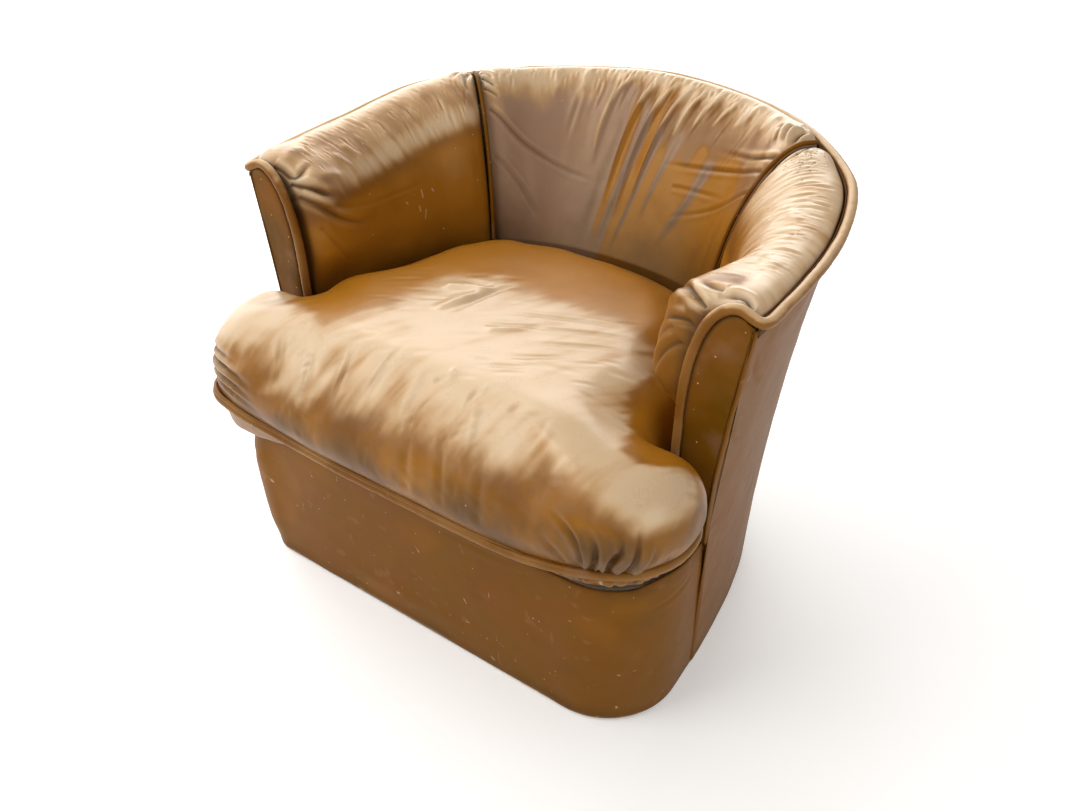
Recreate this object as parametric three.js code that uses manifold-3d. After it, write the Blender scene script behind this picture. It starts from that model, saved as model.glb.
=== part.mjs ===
// Worn club chair: a low tub chair in leather, built round a wooden frame.
// Millimetres, +Z up, the front of the chair towards -Y, and the floor at Z = 0.
import * as THREE from 'three';
import Module from 'manifold-3d';
import { mergeVertices } from 'three/addons/utils/BufferGeometryUtils.js';

const wasm = await Module();
wasm.setup();

// Plan of the tub, one row per station, from the front of the right arm to the middle of the back.
// rim is the outer edge of the rim welt, floor the outer cover at the floor, and seat the inside
// cover at the height where the seat cushion meets it.
const STATIONS = [
  { rim: [401, -176, 618], floor: [354, -135, 0], seat: [309, -168, 0] },
  { rim: [407, -76, 625], floor: [351, -68, 0], seat: [287, -86, 0] },
  { rim: [402, 38, 634], floor: [340, 40, 0], seat: [266, 8, 0] },
  { rim: [374, 146, 653], floor: [316, 134, 0], seat: [240, 82, 0] },
  { rim: [306, 239, 665], floor: [261, 212, 0], seat: [197, 140, 0] },
  { rim: [220, 314, 670], floor: [190, 265, 0], seat: [135, 172, 0] },
  { rim: [108, 359, 676], floor: [95, 295, 0], seat: [66, 187, 0] },
  { rim: [0, 369, 681], floor: [0, 303, 0], seat: [0, 191, 0] },
];
const ARM_STEPS = 10; // facets along an arm, the same in every layer
const BACK_STEPS = 12;
const WALL_ROWS = 6;
const STATION_STEP = 1 / (2 * (STATIONS.length - 1));
const SEAM = 4 * STATION_STEP; // where the arm covers meet the back covers
const BACK_START = 5.5 * STATION_STEP; // from here the inside is all back

// Heights.
const SEAT_LINE = 427; // the cushion meets the inside covers
const COVER_HEM = 268; // the inside covers end, under the cushion
const APRON_TOP = 257;
const APRON_RISE = 10; // of its top edge, at its right-hand end
const SEAT_RAIL_TOP = 250;
const SEAT_RAIL_HEIGHT = 50;
const BASE_RAIL_BOTTOM = 8;
const BASE_RAIL_HEIGHT = 44;
const COVER_DROP = 17; // from the rim down to the outside covers
const BOARD_DROP = 24;
const TOP_RAIL_DROP = 52; // from the rim down to the top rail
const TOP_RAIL_HEIGHT = 46;
const PLATFORM_BOTTOM = 258;
const PLATFORM_THICK = 3;
const DUST_COVER_LEVEL = 5.4;
const DUST_COVER_THICK = 1.2;
const DUST_COVER_IN = 9;
const CUSHION_BOTTOM = 262;
const CUSHION_CROWN = 464;
const CUSHION_WELT_LEVEL = 301;
const CORNER_RISE = { right: 27, left: 20 }; // of the cushion's welt, towards its two ears
const PLUMP = 17;
const EAR_SLUMP = 0.85; // how far the left ear's underside has spread to its full outline
const WELT_SHARE = 0.97; // of the low outline, where the cushion's welt runs
const ZIP_LEVEL = 340;
const ZIP_HEIGHT = 18;
const ZIP_REACH = 0.1; // of t, to each side of the middle
const SLOT_WIDTH = 200;
const CUSHION_GAP = 1.5; // between the cushion and the inside covers
const HEM_HEIGHT = 3; // the leather stops just clear of the floor

// Layers, as distances inwards from the outer face.
const COVER_THICK = 3;
const BOARD_IN = 4;
const BOARD_OUT = 6.2;
const RAIL_IN = 8.2;
const RAIL_OUT = 32;
const FOAM_IN = 40;
const FLARE_POWER = 2.3; // the walls stand upright low down and lean out towards the rim

// Front apron, in plan.
const APRON_HALF = 354;
const APRON_FRONT = -305;
const APRON_CORNER = { right: 115, left: 45 }; // the left corner has been knocked squarer
const APRON_GAP = 2;

// The front edge of each arm stands back at the floor and comes forward above the cushion.
const EDGE_LOW = { z: 100, y: -135 };
const EDGE_HIGH = { z: 430, y: -174 };
const FACING_PROUD = 4.5; // the arm facing stands this far in front of that edge

// Welts.
const RIM_WELT = 6.5;
const SEAM_WELT = 3.2;
const CUSHION_WELT = 6.5;
const WELT_CLEARANCE = 1.6; // between a cushion and its welt

const GLIDE_RADIUS = 14;
const GLIDE_THICK = 4.5;
const NAIL_RADIUS = 2.5;
const NAIL_TOP = 34;
const NAIL_CLEARANCE = 0.4;

const STRAP_WIDTH = 50;
const STRAP_THICK = 1.6;
const STRAP_LEVEL = 253.6;
const STRAP_WEAVE = 1.4;

const CENTRE_Y = 4.15; // middle of the whole depth, in the frame of the plan above

const group = new THREE.Group();
group.name = 'club_chair';
const chair = new THREE.Group();
chair.position.y = -CENTRE_Y;
group.add(chair);

const LOOKS = {
  leather: { color: 0x9a5f2a, roughness: 0.38, metalness: 0 },
  piping: { color: 0x8a5a30, roughness: 0.45, metalness: 0 },
  foam: { color: 0xe3d8a8, roughness: 0.95, metalness: 0 },
  wood: { color: 0xb48a58, roughness: 0.7, metalness: 0 },
  board: { color: 0x8c7a5c, roughness: 0.9, metalness: 0 },
  webbing: { color: 0x2e2b28, roughness: 0.85, metalness: 0 },
  cloth: { color: 0x26241f, roughness: 0.95, metalness: 0 },
  zip: { color: 0x4a3a28, roughness: 0.6, metalness: 0 },
  glide: { color: 0x3a3a3a, roughness: 0.4, metalness: 0.6 },
};

function addPart(name, geometry, look) {
  const mesh = new THREE.Mesh(geometry, new THREE.MeshStandardMaterial(LOOKS[look]));
  mesh.name = name;
  chair.add(mesh);
  return mesh;
}

// ---- curves round the tub: t = 0 at the right arm's front, 0.5 at the middle of the back ----

function stationCurve(key) {
  const right = STATIONS.map((station) => new THREE.Vector3(...station[key]));
  const left = right.slice(0, -1).reverse();
  const mirrored = left.map((p) => new THREE.Vector3(-p.x, p.y, p.z));
  return new THREE.CatmullRomCurve3([...right, ...mirrored]);
}

const rimCurve = stationCurve('rim');
const floorCurve = stationCurve('floor');
const seatCurve = stationCurve('seat');

function outwards(curve, t) {
  const tangent = curve.getTangent(t);
  return new THREE.Vector3(tangent.y, -tangent.x, 0).normalize();
}

// Point of the rim moved in from the welt's outer edge.
function rimPoint(t, inset, drop) {
  const point = rimCurve.getPoint(t);
  point.addScaledVector(outwards(rimCurve, t), -inset);
  point.z -= drop;
  return point;
}

function frontEdgeY(z) {
  const forward = THREE.MathUtils.smoothstep(z, EDGE_LOW.z, EDGE_HIGH.z);
  return THREE.MathUtils.lerp(EDGE_LOW.y, EDGE_HIGH.y, forward);
}

// Share of the front edge's shape that a point at t still follows.
function nearFront(t) {
  return 1 - THREE.MathUtils.smoothstep(Math.min(t, 1 - t), 0, 1.3 * STATION_STEP);
}

// Plan of the outer wall at height z.
function outerPlan(t, z) {
  const top = rimPoint(t, 2 * RIM_WELT, 2 * RIM_WELT + 1);
  const lean = Math.pow(Math.min(z / top.z, 1), FLARE_POWER);
  const normal = outwards(floorCurve, t).lerp(outwards(rimCurve, t), lean).normalize();
  return { point: floorCurve.getPoint(t).lerp(top, lean), normal };
}

// Point of the outer wall at height z, moved in by inset.
function outerPoint(t, z, inset) {
  const { point, normal } = outerPlan(t, z);
  point.y += (frontEdgeY(z) - outerPlan(0, z).point.y) * nearFront(t);
  point.addScaledVector(normal, -inset);
  point.z = z;
  return point;
}

// How far the inside surface has turned from arm (0) to back (1).
function backness(t) {
  const fromFront = Math.min(t, 1 - t);
  return THREE.MathUtils.smoothstep(fromFront, SEAM - STATION_STEP, BACK_START);
}

// Inside surface: u = 0 beside the rim welt, 1 at the seat line, 2 at the hem under the cushion.
function insideSkin(t, u) {
  const rim = rimPoint(t, 2 * RIM_WELT + 2.5, RIM_WELT);
  const seat = seatCurve.getPoint(t);
  seat.z = SEAT_LINE;
  if (u > 1) {
    seat.z = THREE.MathUtils.lerp(SEAT_LINE, COVER_HEM, u - 1);
    seat.y += (frontEdgeY(seat.z) - frontEdgeY(SEAT_LINE)) * nearFront(t);
    return seat;
  }
  const back = backness(t);
  const inwards = seat.clone().sub(rim).setZ(0);
  const high = rim.clone().addScaledVector(inwards, THREE.MathUtils.lerp(0.48, 0.2, back));
  high.z += THREE.MathUtils.lerp(28, 14, back);
  const low = seat.clone().addScaledVector(inwards, THREE.MathUtils.lerp(0.1, -0.42, back));
  low.z += THREE.MathUtils.lerp(173, 120, back);
  return new THREE.CubicBezierCurve3(rim, high, low, seat).getPoint(u);
}

// The same surface moved into the upholstery by depth.
function insidePoint(t, u, depth) {
  const step = 0.002;
  const t0 = Math.max(t - step, 0);
  const t1 = Math.min(t + step, 1);
  const u0 = Math.max(Math.min(u, 2) - step, 0);
  const u1 = Math.min(u0 + 2 * step, 2);
  const along = insideSkin(t1, u).sub(insideSkin(t0, u));
  const down = insideSkin(t, u1).sub(insideSkin(t, u0));
  const normal = along.cross(down).normalize();
  return insideSkin(t, u).addScaledVector(normal, -depth);
}

// ---- closed bodies ----

function range(from, to, steps) {
  return Array.from({ length: steps + 1 }, (_, i) => from + ((to - from) * i) / steps);
}

function bodyFrom(points, faces) {
  const geometry = new THREE.BufferGeometry();
  const position = new Float32Array(points.flatMap((p) => [p.x, p.y, p.z]));
  geometry.setAttribute('position', new THREE.BufferAttribute(position, 3));
  const volume = faces.reduce((sum, [a, b, c]) => {
    const cross = points[b].clone().cross(points[c]);
    return sum + points[a].dot(cross);
  }, 0);
  const outward = volume > 0 ? faces : faces.map(([a, b, c]) => [a, c, b]);
  geometry.setIndex(outward.flat());
  geometry.computeVertexNormals();
  return geometry;
}

// Body between two grids of points of the same size: a cover, a board, a rail or a pad.
function slab(faceA, faceB) {
  const rows = faceA.length;
  const cols = faceA[0].length;
  const points = [...faceA.flat(), ...faceB.flat()];
  const at = (side, i, j) => side * rows * cols + i * cols + j;
  const faces = [];
  const quad = (a, b, c, d) => faces.push([a, b, c], [a, c, d]);
  for (let i = 0; i < rows - 1; i += 1) {
    for (let j = 0; j < cols - 1; j += 1) {
      quad(at(0, i, j), at(0, i + 1, j), at(0, i + 1, j + 1), at(0, i, j + 1));
      quad(at(1, i, j), at(1, i, j + 1), at(1, i + 1, j + 1), at(1, i + 1, j));
    }
    quad(at(0, i, 0), at(1, i, 0), at(1, i + 1, 0), at(0, i + 1, 0));
    quad(at(0, i + 1, cols - 1), at(1, i + 1, cols - 1), at(1, i, cols - 1), at(0, i, cols - 1));
  }
  for (let j = 0; j < cols - 1; j += 1) {
    quad(at(0, 0, j + 1), at(1, 0, j + 1), at(1, 0, j), at(0, 0, j));
    quad(at(0, rows - 1, j), at(1, rows - 1, j), at(1, rows - 1, j + 1), at(0, rows - 1, j + 1));
  }
  return bodyFrom(points, faces);
}

function grid(rows, cols, place) {
  return rows.map((row) => cols.map((col) => place(row, col)));
}

// Body of closed rings of the same size, one above the other, closed at both ends.
function ringBody(rings, bottom, top) {
  const count = rings[0].length;
  const points = [...rings.flat(), bottom, top];
  const bottomAt = points.length - 2;
  const topAt = points.length - 1;
  const last = (rings.length - 1) * count;
  const faces = [];
  for (let j = 0; j < count; j += 1) {
    const next = (j + 1) % count;
    faces.push([bottomAt, next, j], [topAt, last + j, last + next]);
    for (let i = 0; i < rings.length - 1; i += 1) {
      const low = i * count;
      const high = low + count;
      faces.push([low + j, low + next, high + next], [low + j, high + next, high + j]);
    }
  }
  return bodyFrom(points, faces);
}

function tube(points, radius, steps, sides) {
  const section = new THREE.Shape(
    range(0, 2 * Math.PI, sides).slice(0, sides)
      .map((a) => new THREE.Vector2(radius * Math.cos(a), radius * Math.sin(a))),
  );
  const extrudePath = new THREE.CatmullRomCurve3(points);
  return new THREE.ExtrudeGeometry(section, { steps, extrudePath, bevelEnabled: false });
}

function toSolid(geometry) {
  const bare = geometry.clone();
  bare.deleteAttribute('normal');
  bare.deleteAttribute('uv');
  const merged = mergeVertices(bare, 1e-3);
  return new wasm.Manifold(new wasm.Mesh({
    numProp: 3,
    vertProperties: new Float32Array(merged.attributes.position.array),
    triVerts: new Uint32Array(merged.index.array),
  }));
}

function cut(geometry, ...tools) {
  const solid = tools.reduce((left, tool) => left.subtract(toSolid(tool)), toSolid(geometry));
  const mesh = solid.getMesh();
  const result = new THREE.BufferGeometry();
  result.setAttribute('position', new THREE.BufferAttribute(mesh.vertProperties, 3));
  result.setIndex(new THREE.BufferAttribute(mesh.triVerts, 1));
  result.computeVertexNormals();
  return result;
}

// ---- outer walls: covers, boards, rails and posts ----

const ARM_START = 0.008;
const POST_START = 0.01;
const POST_WIDTH = 0.026;
const BACK_POST_HALF = 0.012;
const SLAT_HALF = 0.016;
const JOINT_GAP = 0.001;
const INSIDE_START = 0.007;
const INSIDE_JOINT = 0.003; // half the gap between the inside covers at a back seam
const BACK_NAILS = [0.36, 0.64];

// A wall between two insets, from one t to another, and between two heights that may follow t.
function wall(t0, t1, steps, bottom, top, rows, insetA, insetB) {
  const place = (inset) => (t, rise) => {
    const z = THREE.MathUtils.lerp(bottom(t), top(t), rise);
    const hem = inset < COVER_THICK ? 2 * Math.max(0, 1 - (z - HEM_HEIGHT) / 10) : 0;
    return outerPoint(t, z, inset + hem);
  };
  const across = range(t0, t1, steps);
  const up = range(0, 1, rows);
  return slab(grid(across, up, place(insetA)), grid(across, up, place(insetB)));
}

const level = (z) => () => z;
const belowRim = (drop) => (t) => rimCurve.getPoint(t).z - drop;

function facets(side) {
  return side === 'back' ? BACK_STEPS : ARM_STEPS;
}

// Right-hand, left-hand and back stretches of the tub.
function stretches(armStart, armEnd, backStart) {
  return {
    right_arm: [armStart, armEnd],
    left_arm: [1 - armEnd, 1 - armStart],
    back: [backStart, 1 - backStart],
  };
}

function addOutsideCovers() {
  const spans = stretches(0, SEAM - JOINT_GAP / 2, SEAM + JOINT_GAP / 2);
  for (const [side, [t0, t1]] of Object.entries(spans)) {
    const top = belowRim(COVER_DROP);
    const cover = wall(t0, t1, facets(side), level(HEM_HEIGHT), top, WALL_ROWS, 0, COVER_THICK);
    addPart(`outside_${side}_cover`, cover, 'leather');
  }
}

function addOutsideBoards() {
  const spans = stretches(ARM_START, SEAM - 2 * JOINT_GAP, SEAM + 2 * JOINT_GAP);
  for (const [side, [t0, t1]] of Object.entries(spans)) {
    const bottom = level(BASE_RAIL_BOTTOM);
    const top = belowRim(BOARD_DROP);
    const board = wall(t0, t1, facets(side), bottom, top, WALL_ROWS, BOARD_IN, BOARD_OUT);
    addPart(`outside_${side}_board`, board, 'board');
  }
}

const NAIL_SPOTS = [
  ...[['right', 1], ['left', -1]].map(([name, side]) => {
    const radius = APRON_CORNER[name];
    const reach = (radius - (RAIL_IN + RAIL_OUT) / 2) * Math.SQRT1_2 - radius;
    return new THREE.Vector3(side * (APRON_HALF + reach), APRON_FRONT - reach, 0);
  }),
  ...BACK_NAILS.map((t) => outerPoint(t, 0, (RAIL_IN + RAIL_OUT) / 2)),
];

function drill(geometry, spots) {
  const holes = spots.map((spot) => {
    const depth = NAIL_TOP + 2;
    const hole = new THREE.CylinderGeometry(
      NAIL_RADIUS + NAIL_CLEARANCE,
      NAIL_RADIUS + NAIL_CLEARANCE,
      depth,
      10,
    );
    hole.rotateX(Math.PI / 2);
    hole.translate(spot.x, spot.y, depth / 2);
    return hole;
  });
  return cut(geometry, ...holes);
}

function addRails() {
  const armStart = POST_START + POST_WIDTH + JOINT_GAP;
  const postEdge = BACK_POST_HALF + JOINT_GAP;
  const spans = stretches(armStart, SEAM - postEdge, SEAM + postEdge);
  const levels = {
    base: [level(BASE_RAIL_BOTTOM), level(BASE_RAIL_BOTTOM + BASE_RAIL_HEIGHT)],
    seat: [level(SEAT_RAIL_TOP - SEAT_RAIL_HEIGHT), level(SEAT_RAIL_TOP)],
    top: [belowRim(TOP_RAIL_DROP + TOP_RAIL_HEIGHT), belowRim(TOP_RAIL_DROP)],
  };
  for (const [side, [t0, t1]] of Object.entries(spans)) {
    for (const [height, [bottom, top]] of Object.entries(levels)) {
      const rail = wall(t0, t1, facets(side), bottom, top, 1, RAIL_IN, RAIL_OUT);
      const drilled = side === 'back' && height === 'base' ? drill(rail, NAIL_SPOTS.slice(2)) : rail;
      addPart(`${side}_${height}_rail`, drilled, 'wood');
    }
  }
}

function addPosts() {
  const bottom = level(BASE_RAIL_BOTTOM);
  const top = belowRim(TOP_RAIL_DROP);
  const posts = {
    front_right_post: [POST_START, POST_START + POST_WIDTH],
    back_right_post: [SEAM - BACK_POST_HALF, SEAM + BACK_POST_HALF],
    back_left_post: [1 - SEAM - BACK_POST_HALF, 1 - SEAM + BACK_POST_HALF],
    front_left_post: [1 - POST_START - POST_WIDTH, 1 - POST_START],
  };
  for (const [name, [t0, t1]] of Object.entries(posts)) {
    addPart(name, wall(t0, t1, 1, bottom, top, 6, RAIL_IN, RAIL_OUT), 'wood');
  }
  const slatBottom = level(SEAT_RAIL_TOP + 0.4);
  const slatTop = belowRim(TOP_RAIL_DROP + TOP_RAIL_HEIGHT + 0.4);
  const slat = wall(0.5 - SLAT_HALF, 0.5 + SLAT_HALF, 2, slatBottom, slatTop, 6, RAIL_IN, RAIL_OUT);
  addPart('back_middle_slat', slat, 'wood');
}

// ---- front apron, its board and the front rails ----

function apronPlan(inset, z) {
  const x = APRON_HALF - inset;
  const y = APRON_FRONT + inset;
  const right = APRON_CORNER.right - inset;
  const left = APRON_CORNER.left - inset;
  const end = frontEdgeY(z) - APRON_GAP;
  const path = new THREE.Path();
  path.moveTo(x, end);
  path.lineTo(x, y + right);
  path.absarc(x - right, y + right, right, 0, -Math.PI / 2, true);
  path.lineTo(-(x - left), y);
  path.absarc(-(x - left), y + left, left, -Math.PI / 2, -Math.PI, true);
  path.lineTo(-x, end);
  return path.getPoints(8);
}

// The apron's top edge has been pulled up beside the right arm.
function atRightEnd(x) {
  return THREE.MathUtils.smoothstep(x, 315, 348);
}

// Band round the front between two insets; levels lists height and extra inset of its outer face.
function frontBand(insetA, insetB, levels) {
  const face = (base) => levels.map(([z, extra]) => {
    const rise = z === APRON_TOP ? APRON_RISE : 0;
    const plan = apronPlan(base + (base === insetA ? extra : 0), z + rise);
    return plan.map((p) => new THREE.Vector3(p.x, p.y, z + rise * atRightEnd(p.x)));
  });
  return slab(face(insetA), face(insetB));
}

function addFront() {
  const apron = frontBand(0, COVER_THICK, [[HEM_HEIGHT, 2], [13, 0], [130, 0], [APRON_TOP, 0]]);
  addPart('front_apron_cover', apron, 'leather');
  const board = frontBand(BOARD_IN, BOARD_OUT, [[BASE_RAIL_BOTTOM, 0], [APRON_TOP - 8, 0]]);
  addPart('front_apron_board', board, 'board');
  const baseTop = BASE_RAIL_BOTTOM + BASE_RAIL_HEIGHT;
  const baseRail = frontBand(RAIL_IN, RAIL_OUT, [[BASE_RAIL_BOTTOM, 0], [baseTop, 0]]);
  addPart('front_base_rail', drill(baseRail, NAIL_SPOTS.slice(0, 2)), 'wood');
  const seatLow = SEAT_RAIL_TOP - SEAT_RAIL_HEIGHT;
  const seatRail = frontBand(RAIL_IN, RAIL_OUT, [[seatLow, 0], [SEAT_RAIL_TOP, 0]]);
  addPart('front_seat_rail', seatRail, 'wood');
}

// ---- arm facings ----

function facingY(z) {
  return frontEdgeY(z) - FACING_PROUD;
}

const FACING_TOP = [0.22, 0.12, 0.04]; // u of the points along its upper edge, from the inside out
const FACING_ROWS = [...range(0.4, 1, 8), 1.5, 2];
const FACING_DROP = 12; // from the rim down to its outer corner
const FACING_FALL = 6; // of its upper rows, towards the outside
const FACING_EDGE = 8; // its edge lies this far under the inside cover
const FACING_BOARD_EDGE = 14;
const FACING_BOARD_THICK = 4;

// Panel in front of an arm, between two depths behind its face.
function facing(side, depthA, depthB, edge) {
  const top = FACING_TOP.map((u) => insidePoint(0, u, edge));
  top.push(outerPoint(0, rimCurve.getPoint(0).z - FACING_DROP, edge / 3));
  const rows = FACING_ROWS.map((u) => {
    const inner = insidePoint(0, u, edge);
    const fall = FACING_FALL * (1 - THREE.MathUtils.smoothstep(u, 0.4, 1));
    const outer = outerPoint(0, inner.z - fall, edge / 3);
    return range(0, 1, 3).map((across) => inner.clone().lerp(outer, across));
  });
  const face = (depth) => [top, ...rows].map((row) => row.map(
    (p) => new THREE.Vector3(side * p.x, facingY(p.z) + depth, p.z),
  ));
  return slab(face(depthA), face(depthB));
}

function addFacings() {
  for (const [name, side] of [['right', 1], ['left', -1]]) {
    addPart(`${name}_arm_facing`, facing(side, 0, COVER_THICK, FACING_EDGE), 'leather');
    const board = facing(side, BOARD_IN, BOARD_IN + FACING_BOARD_THICK, FACING_BOARD_EDGE);
    addPart(`${name}_facing_board`, board, 'board');
  }
}

// ---- inside covers and the foam under them ----

const INSIDE_ROWS = [...range(0, 1, 9), 1.5, 2];
const PAD_BULGE = { right: 42, left: 20 };
const BULGE_PEAK = 0.03; // of t, behind a pad's front edge
const BULGE_END = 0.13;

// How far the arm pads sag inwards: most of all just behind their front edge, above the cushion.
function padBulge(t, u) {
  const { smoothstep } = THREE.MathUtils;
  const fromFront = Math.max(Math.min(t, 1 - t) - INSIDE_START, 0);
  const before = Math.max(1 - fromFront / BULGE_PEAK, 0);
  const along = Math.sqrt(1 - before * before) * (1 - smoothstep(fromFront, BULGE_PEAK, BULGE_END));
  const down = smoothstep(u, 0.3, 0.62) * (1 - smoothstep(u, 0.86, 0.99));
  return PAD_BULGE[t < 0.5 ? 'right' : 'left'] * along * down;
}

function foamBack(t, u) {
  const top = rimCurve.getPoint(t).z - TOP_RAIL_DROP + 8;
  const z = THREE.MathUtils.lerp(top, COVER_HEM + 2, Math.min(u / 2, 1));
  return outerPoint(t, z, FOAM_IN);
}

function addInside() {
  const spans = stretches(INSIDE_START, SEAM - INSIDE_JOINT, SEAM + INSIDE_JOINT);
  for (const [side, [t0, t1]] of Object.entries(spans)) {
    const layer = (place) => grid(range(t0, t1, facets(side)), INSIDE_ROWS, place);
    const face = (depth) => layer((t, u) => insidePoint(t, u, depth - padBulge(t, u)));
    addPart(`inside_${side}_cover`, slab(face(0), face(COVER_THICK)), 'leather');
    const front = face(COVER_THICK + 0.6);
    addPart(`inside_${side}_foam`, slab(front, layer(foamBack)), 'foam');
  }
}

// ---- welts ----

function facingWeltPoint(u) {
  const point = insidePoint(0, u, 1);
  point.y = facingY(point.z) + RIM_WELT - 1.5;
  return point;
}

function addWelts() {
  const edge = [1.35, 1, 0.8, 0.6, 0.45, 0.3, 0.18].map(facingWeltPoint);
  const round = range(0, 0.5, 14).map((t) => rimPoint(t, RIM_WELT, RIM_WELT));
  const turn = rimPoint(0, RIM_WELT + 4, RIM_WELT);
  turn.y = facingY(turn.z) + RIM_WELT - 1.5;
  const half = [...edge, turn, ...round.slice(1)];
  const mirror = half.slice(0, -1).reverse().map((p) => new THREE.Vector3(-p.x, p.y, p.z));
  addPart('rim_welt', tube([...half, ...mirror], RIM_WELT, 96, 6), 'piping');
  for (const [name, t] of [['right', SEAM], ['left', 1 - SEAM]]) {
    const run = range(0.05, 1, 8).map((u) => insidePoint(t, u, -SEAM_WELT - 0.5));
    addPart(`${name}_back_seam_welt`, tube(run, SEAM_WELT, 12, 6), 'piping');
  }
}

// ---- seat: webbing, platform and cushion ----

// Where a rail's middle line passes a given x (for the back) or a given y (for a side).
function railMiddle(axis, value) {
  const inset = (RAIL_IN + RAIL_OUT) / 2;
  const spots = range(axis === 'x' ? SEAM : 0, axis === 'x' ? 0.5 : SEAM, 200)
    .map((t) => outerPoint(t, SEAT_RAIL_TOP, inset));
  const miss = (p) => Math.abs(p[axis] - value);
  return spots.reduce((best, p) => (miss(p) < miss(best) ? p : best));
}

const LONG_STRAPS = [-165, -55, 55, 165];
const CROSS_STRAPS = [-190, -80, 30];

function strap(points) {
  const face = (drop) => points.map(([middle, side]) => [-1, 1].map((edge) => {
    const point = middle.clone().addScaledVector(side, (edge * STRAP_WIDTH) / 2);
    point.z -= drop;
    return point;
  }));
  return slab(face(-STRAP_THICK / 2), face(STRAP_THICK / 2));
}

// Heights of one strap: flat over each crossing, and level again between them.
function weave(start, end, crossings, firstUp) {
  const half = STRAP_WIDTH / 2 + 3;
  const stops = crossings.flatMap((at, i) => {
    const up = i % 2 === firstUp ? STRAP_WEAVE : -STRAP_WEAVE;
    return [[at - half, up], [at + half, up]];
  });
  return [[start, 0], ...stops, [end, 0]];
}

function addWebbing() {
  LONG_STRAPS.forEach((x, i) => {
    const start = APRON_FRONT + (RAIL_IN + RAIL_OUT) / 2;
    const end = railMiddle('x', Math.abs(x)).y;
    const run = weave(start, end, CROSS_STRAPS, i % 2);
    const side = new THREE.Vector3(1, 0, 0);
    const points = run.map(([y, up]) => [new THREE.Vector3(x, y, STRAP_LEVEL + up), side]);
    addPart(`seat_strap_long_${i + 1}`, strap(points), 'webbing');
  });
  CROSS_STRAPS.forEach((y, j) => {
    const reach = y < EDGE_LOW.y ? APRON_HALF - (RAIL_IN + RAIL_OUT) / 2 : railMiddle('y', y).x;
    const run = weave(-reach, reach, LONG_STRAPS, 1 - (j % 2));
    const side = new THREE.Vector3(0, 1, 0);
    const points = run.map(([x, up]) => [new THREE.Vector3(x, y, STRAP_LEVEL + up), side]);
    addPart(`seat_strap_cross_${j + 1}`, strap(points), 'webbing');
  });
}

// Flat sheet as wide as the tub at height z, kept inset from both its outlines.
function tubSheet(z, thick, tubInset, apronInset) {
  const round = range(0, 1, 28).map((t) => outerPoint(t, z, tubInset));
  const front = apronPlan(apronInset, z).reverse();
  const outline = [...round, ...front].map((p) => new THREE.Vector2(p.x, p.y));
  const sheet = new THREE.ExtrudeGeometry(new THREE.Shape(outline), {
    depth: thick,
    bevelEnabled: false,
  });
  sheet.translate(0, 0, z);
  return sheet;
}

function addSheets() {
  const platform = tubSheet(PLATFORM_BOTTOM, PLATFORM_THICK, FOAM_IN, COVER_THICK + 1.5);
  addPart('seat_platform', platform, 'cloth');
  const dust = tubSheet(DUST_COVER_LEVEL, DUST_COVER_THICK, DUST_COVER_IN, DUST_COVER_IN);
  addPart('dust_cover', drill(dust, NAIL_SPOTS), 'cloth');
}

// Half outlines of the cushion's front, from its middle, round the ear that stands in front of the
// arm, to the notch beside the arm's front edge: at its fullest, at its welt, and on top. The sides
// and the back follow the inside covers.
const CUSHION_FULL = [
  [0, -360], [110, -360], [215, -359], [308, -352], [360, -330], [386, -288],
  [390, -240], [380, -205], [358, -188], [326, -188], [305, -187], [297, -178],
];
const CUSHION_LOW = [
  [0, -337], [104, -337], [204, -335], [290, -326], [334, -302], [358, -262],
  [362, -224], [356, -202], [344, -189], [326, -188], [305, -187], [297, -178],
];
const CUSHION_TOP = [
  [0, -300], [96, -300], [184, -297], [264, -290], [304, -274], [328, -250],
  [332, -234], [324, -222], [308, -216], [290, -215], [274, -212], [264, -201],
];
const CUSHION_TOP_INSET = 30; // of the sides, where the front is at CUSHION_TOP

// Half outline, with shares of the way from its fullest to the low and to the top outline. The
// left ear has slumped: its underside stays almost as wide as its fullest outline.
function cushionHalf(low, top, hand) {
  const front = CUSHION_FULL.map(([x, y], i) => {
    const slump = hand < 0 ? EAR_SLUMP * THREE.MathUtils.smoothstep(x, 250, 350) : 0;
    const under = low * (1 - slump);
    return new THREE.Vector2(
      x + under * (CUSHION_LOW[i][0] - x) + top * (CUSHION_TOP[i][0] - x),
      y + under * (CUSHION_LOW[i][1] - y) + top * (CUSHION_TOP[i][1] - y),
    );
  });
  const inset = CUSHION_GAP + CUSHION_TOP_INSET * top;
  const side = range(0.03, 0.5, 9).map((t) => {
    const point = seatCurve.getPoint(t).addScaledVector(outwards(seatCurve, t), -inset);
    return new THREE.Vector2(point.x, point.y);
  });
  return [...front, ...side];
}

// How much a level of the cushion is lifted where its outline turns round an ear.
function cornerRise(p, z) {
  const { smoothstep } = THREE.MathUtils;
  const corner = smoothstep(Math.abs(p.x), 150, 345) * smoothstep(-p.y, 150, 188);
  const rise = p.x > 0 ? CORNER_RISE.right : CORNER_RISE.left;
  const below = smoothstep(z, CUSHION_BOTTOM, CUSHION_WELT_LEVEL);
  const above = smoothstep(z, CUSHION_WELT_LEVEL, 400);
  return rise * corner * below * (1 - above);
}

// The top is plumper where it presses against the front of the left arm.
function plumpness(p, z) {
  const { smoothstep } = THREE.MathUtils;
  const beside = smoothstep(-p.x, 130, 300) * smoothstep(-p.y, -40, 170);
  return PLUMP * beside * (1 - 0.6 * smoothstep(-p.y, 180, 260)) * smoothstep(z, 400, 445);
}

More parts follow.
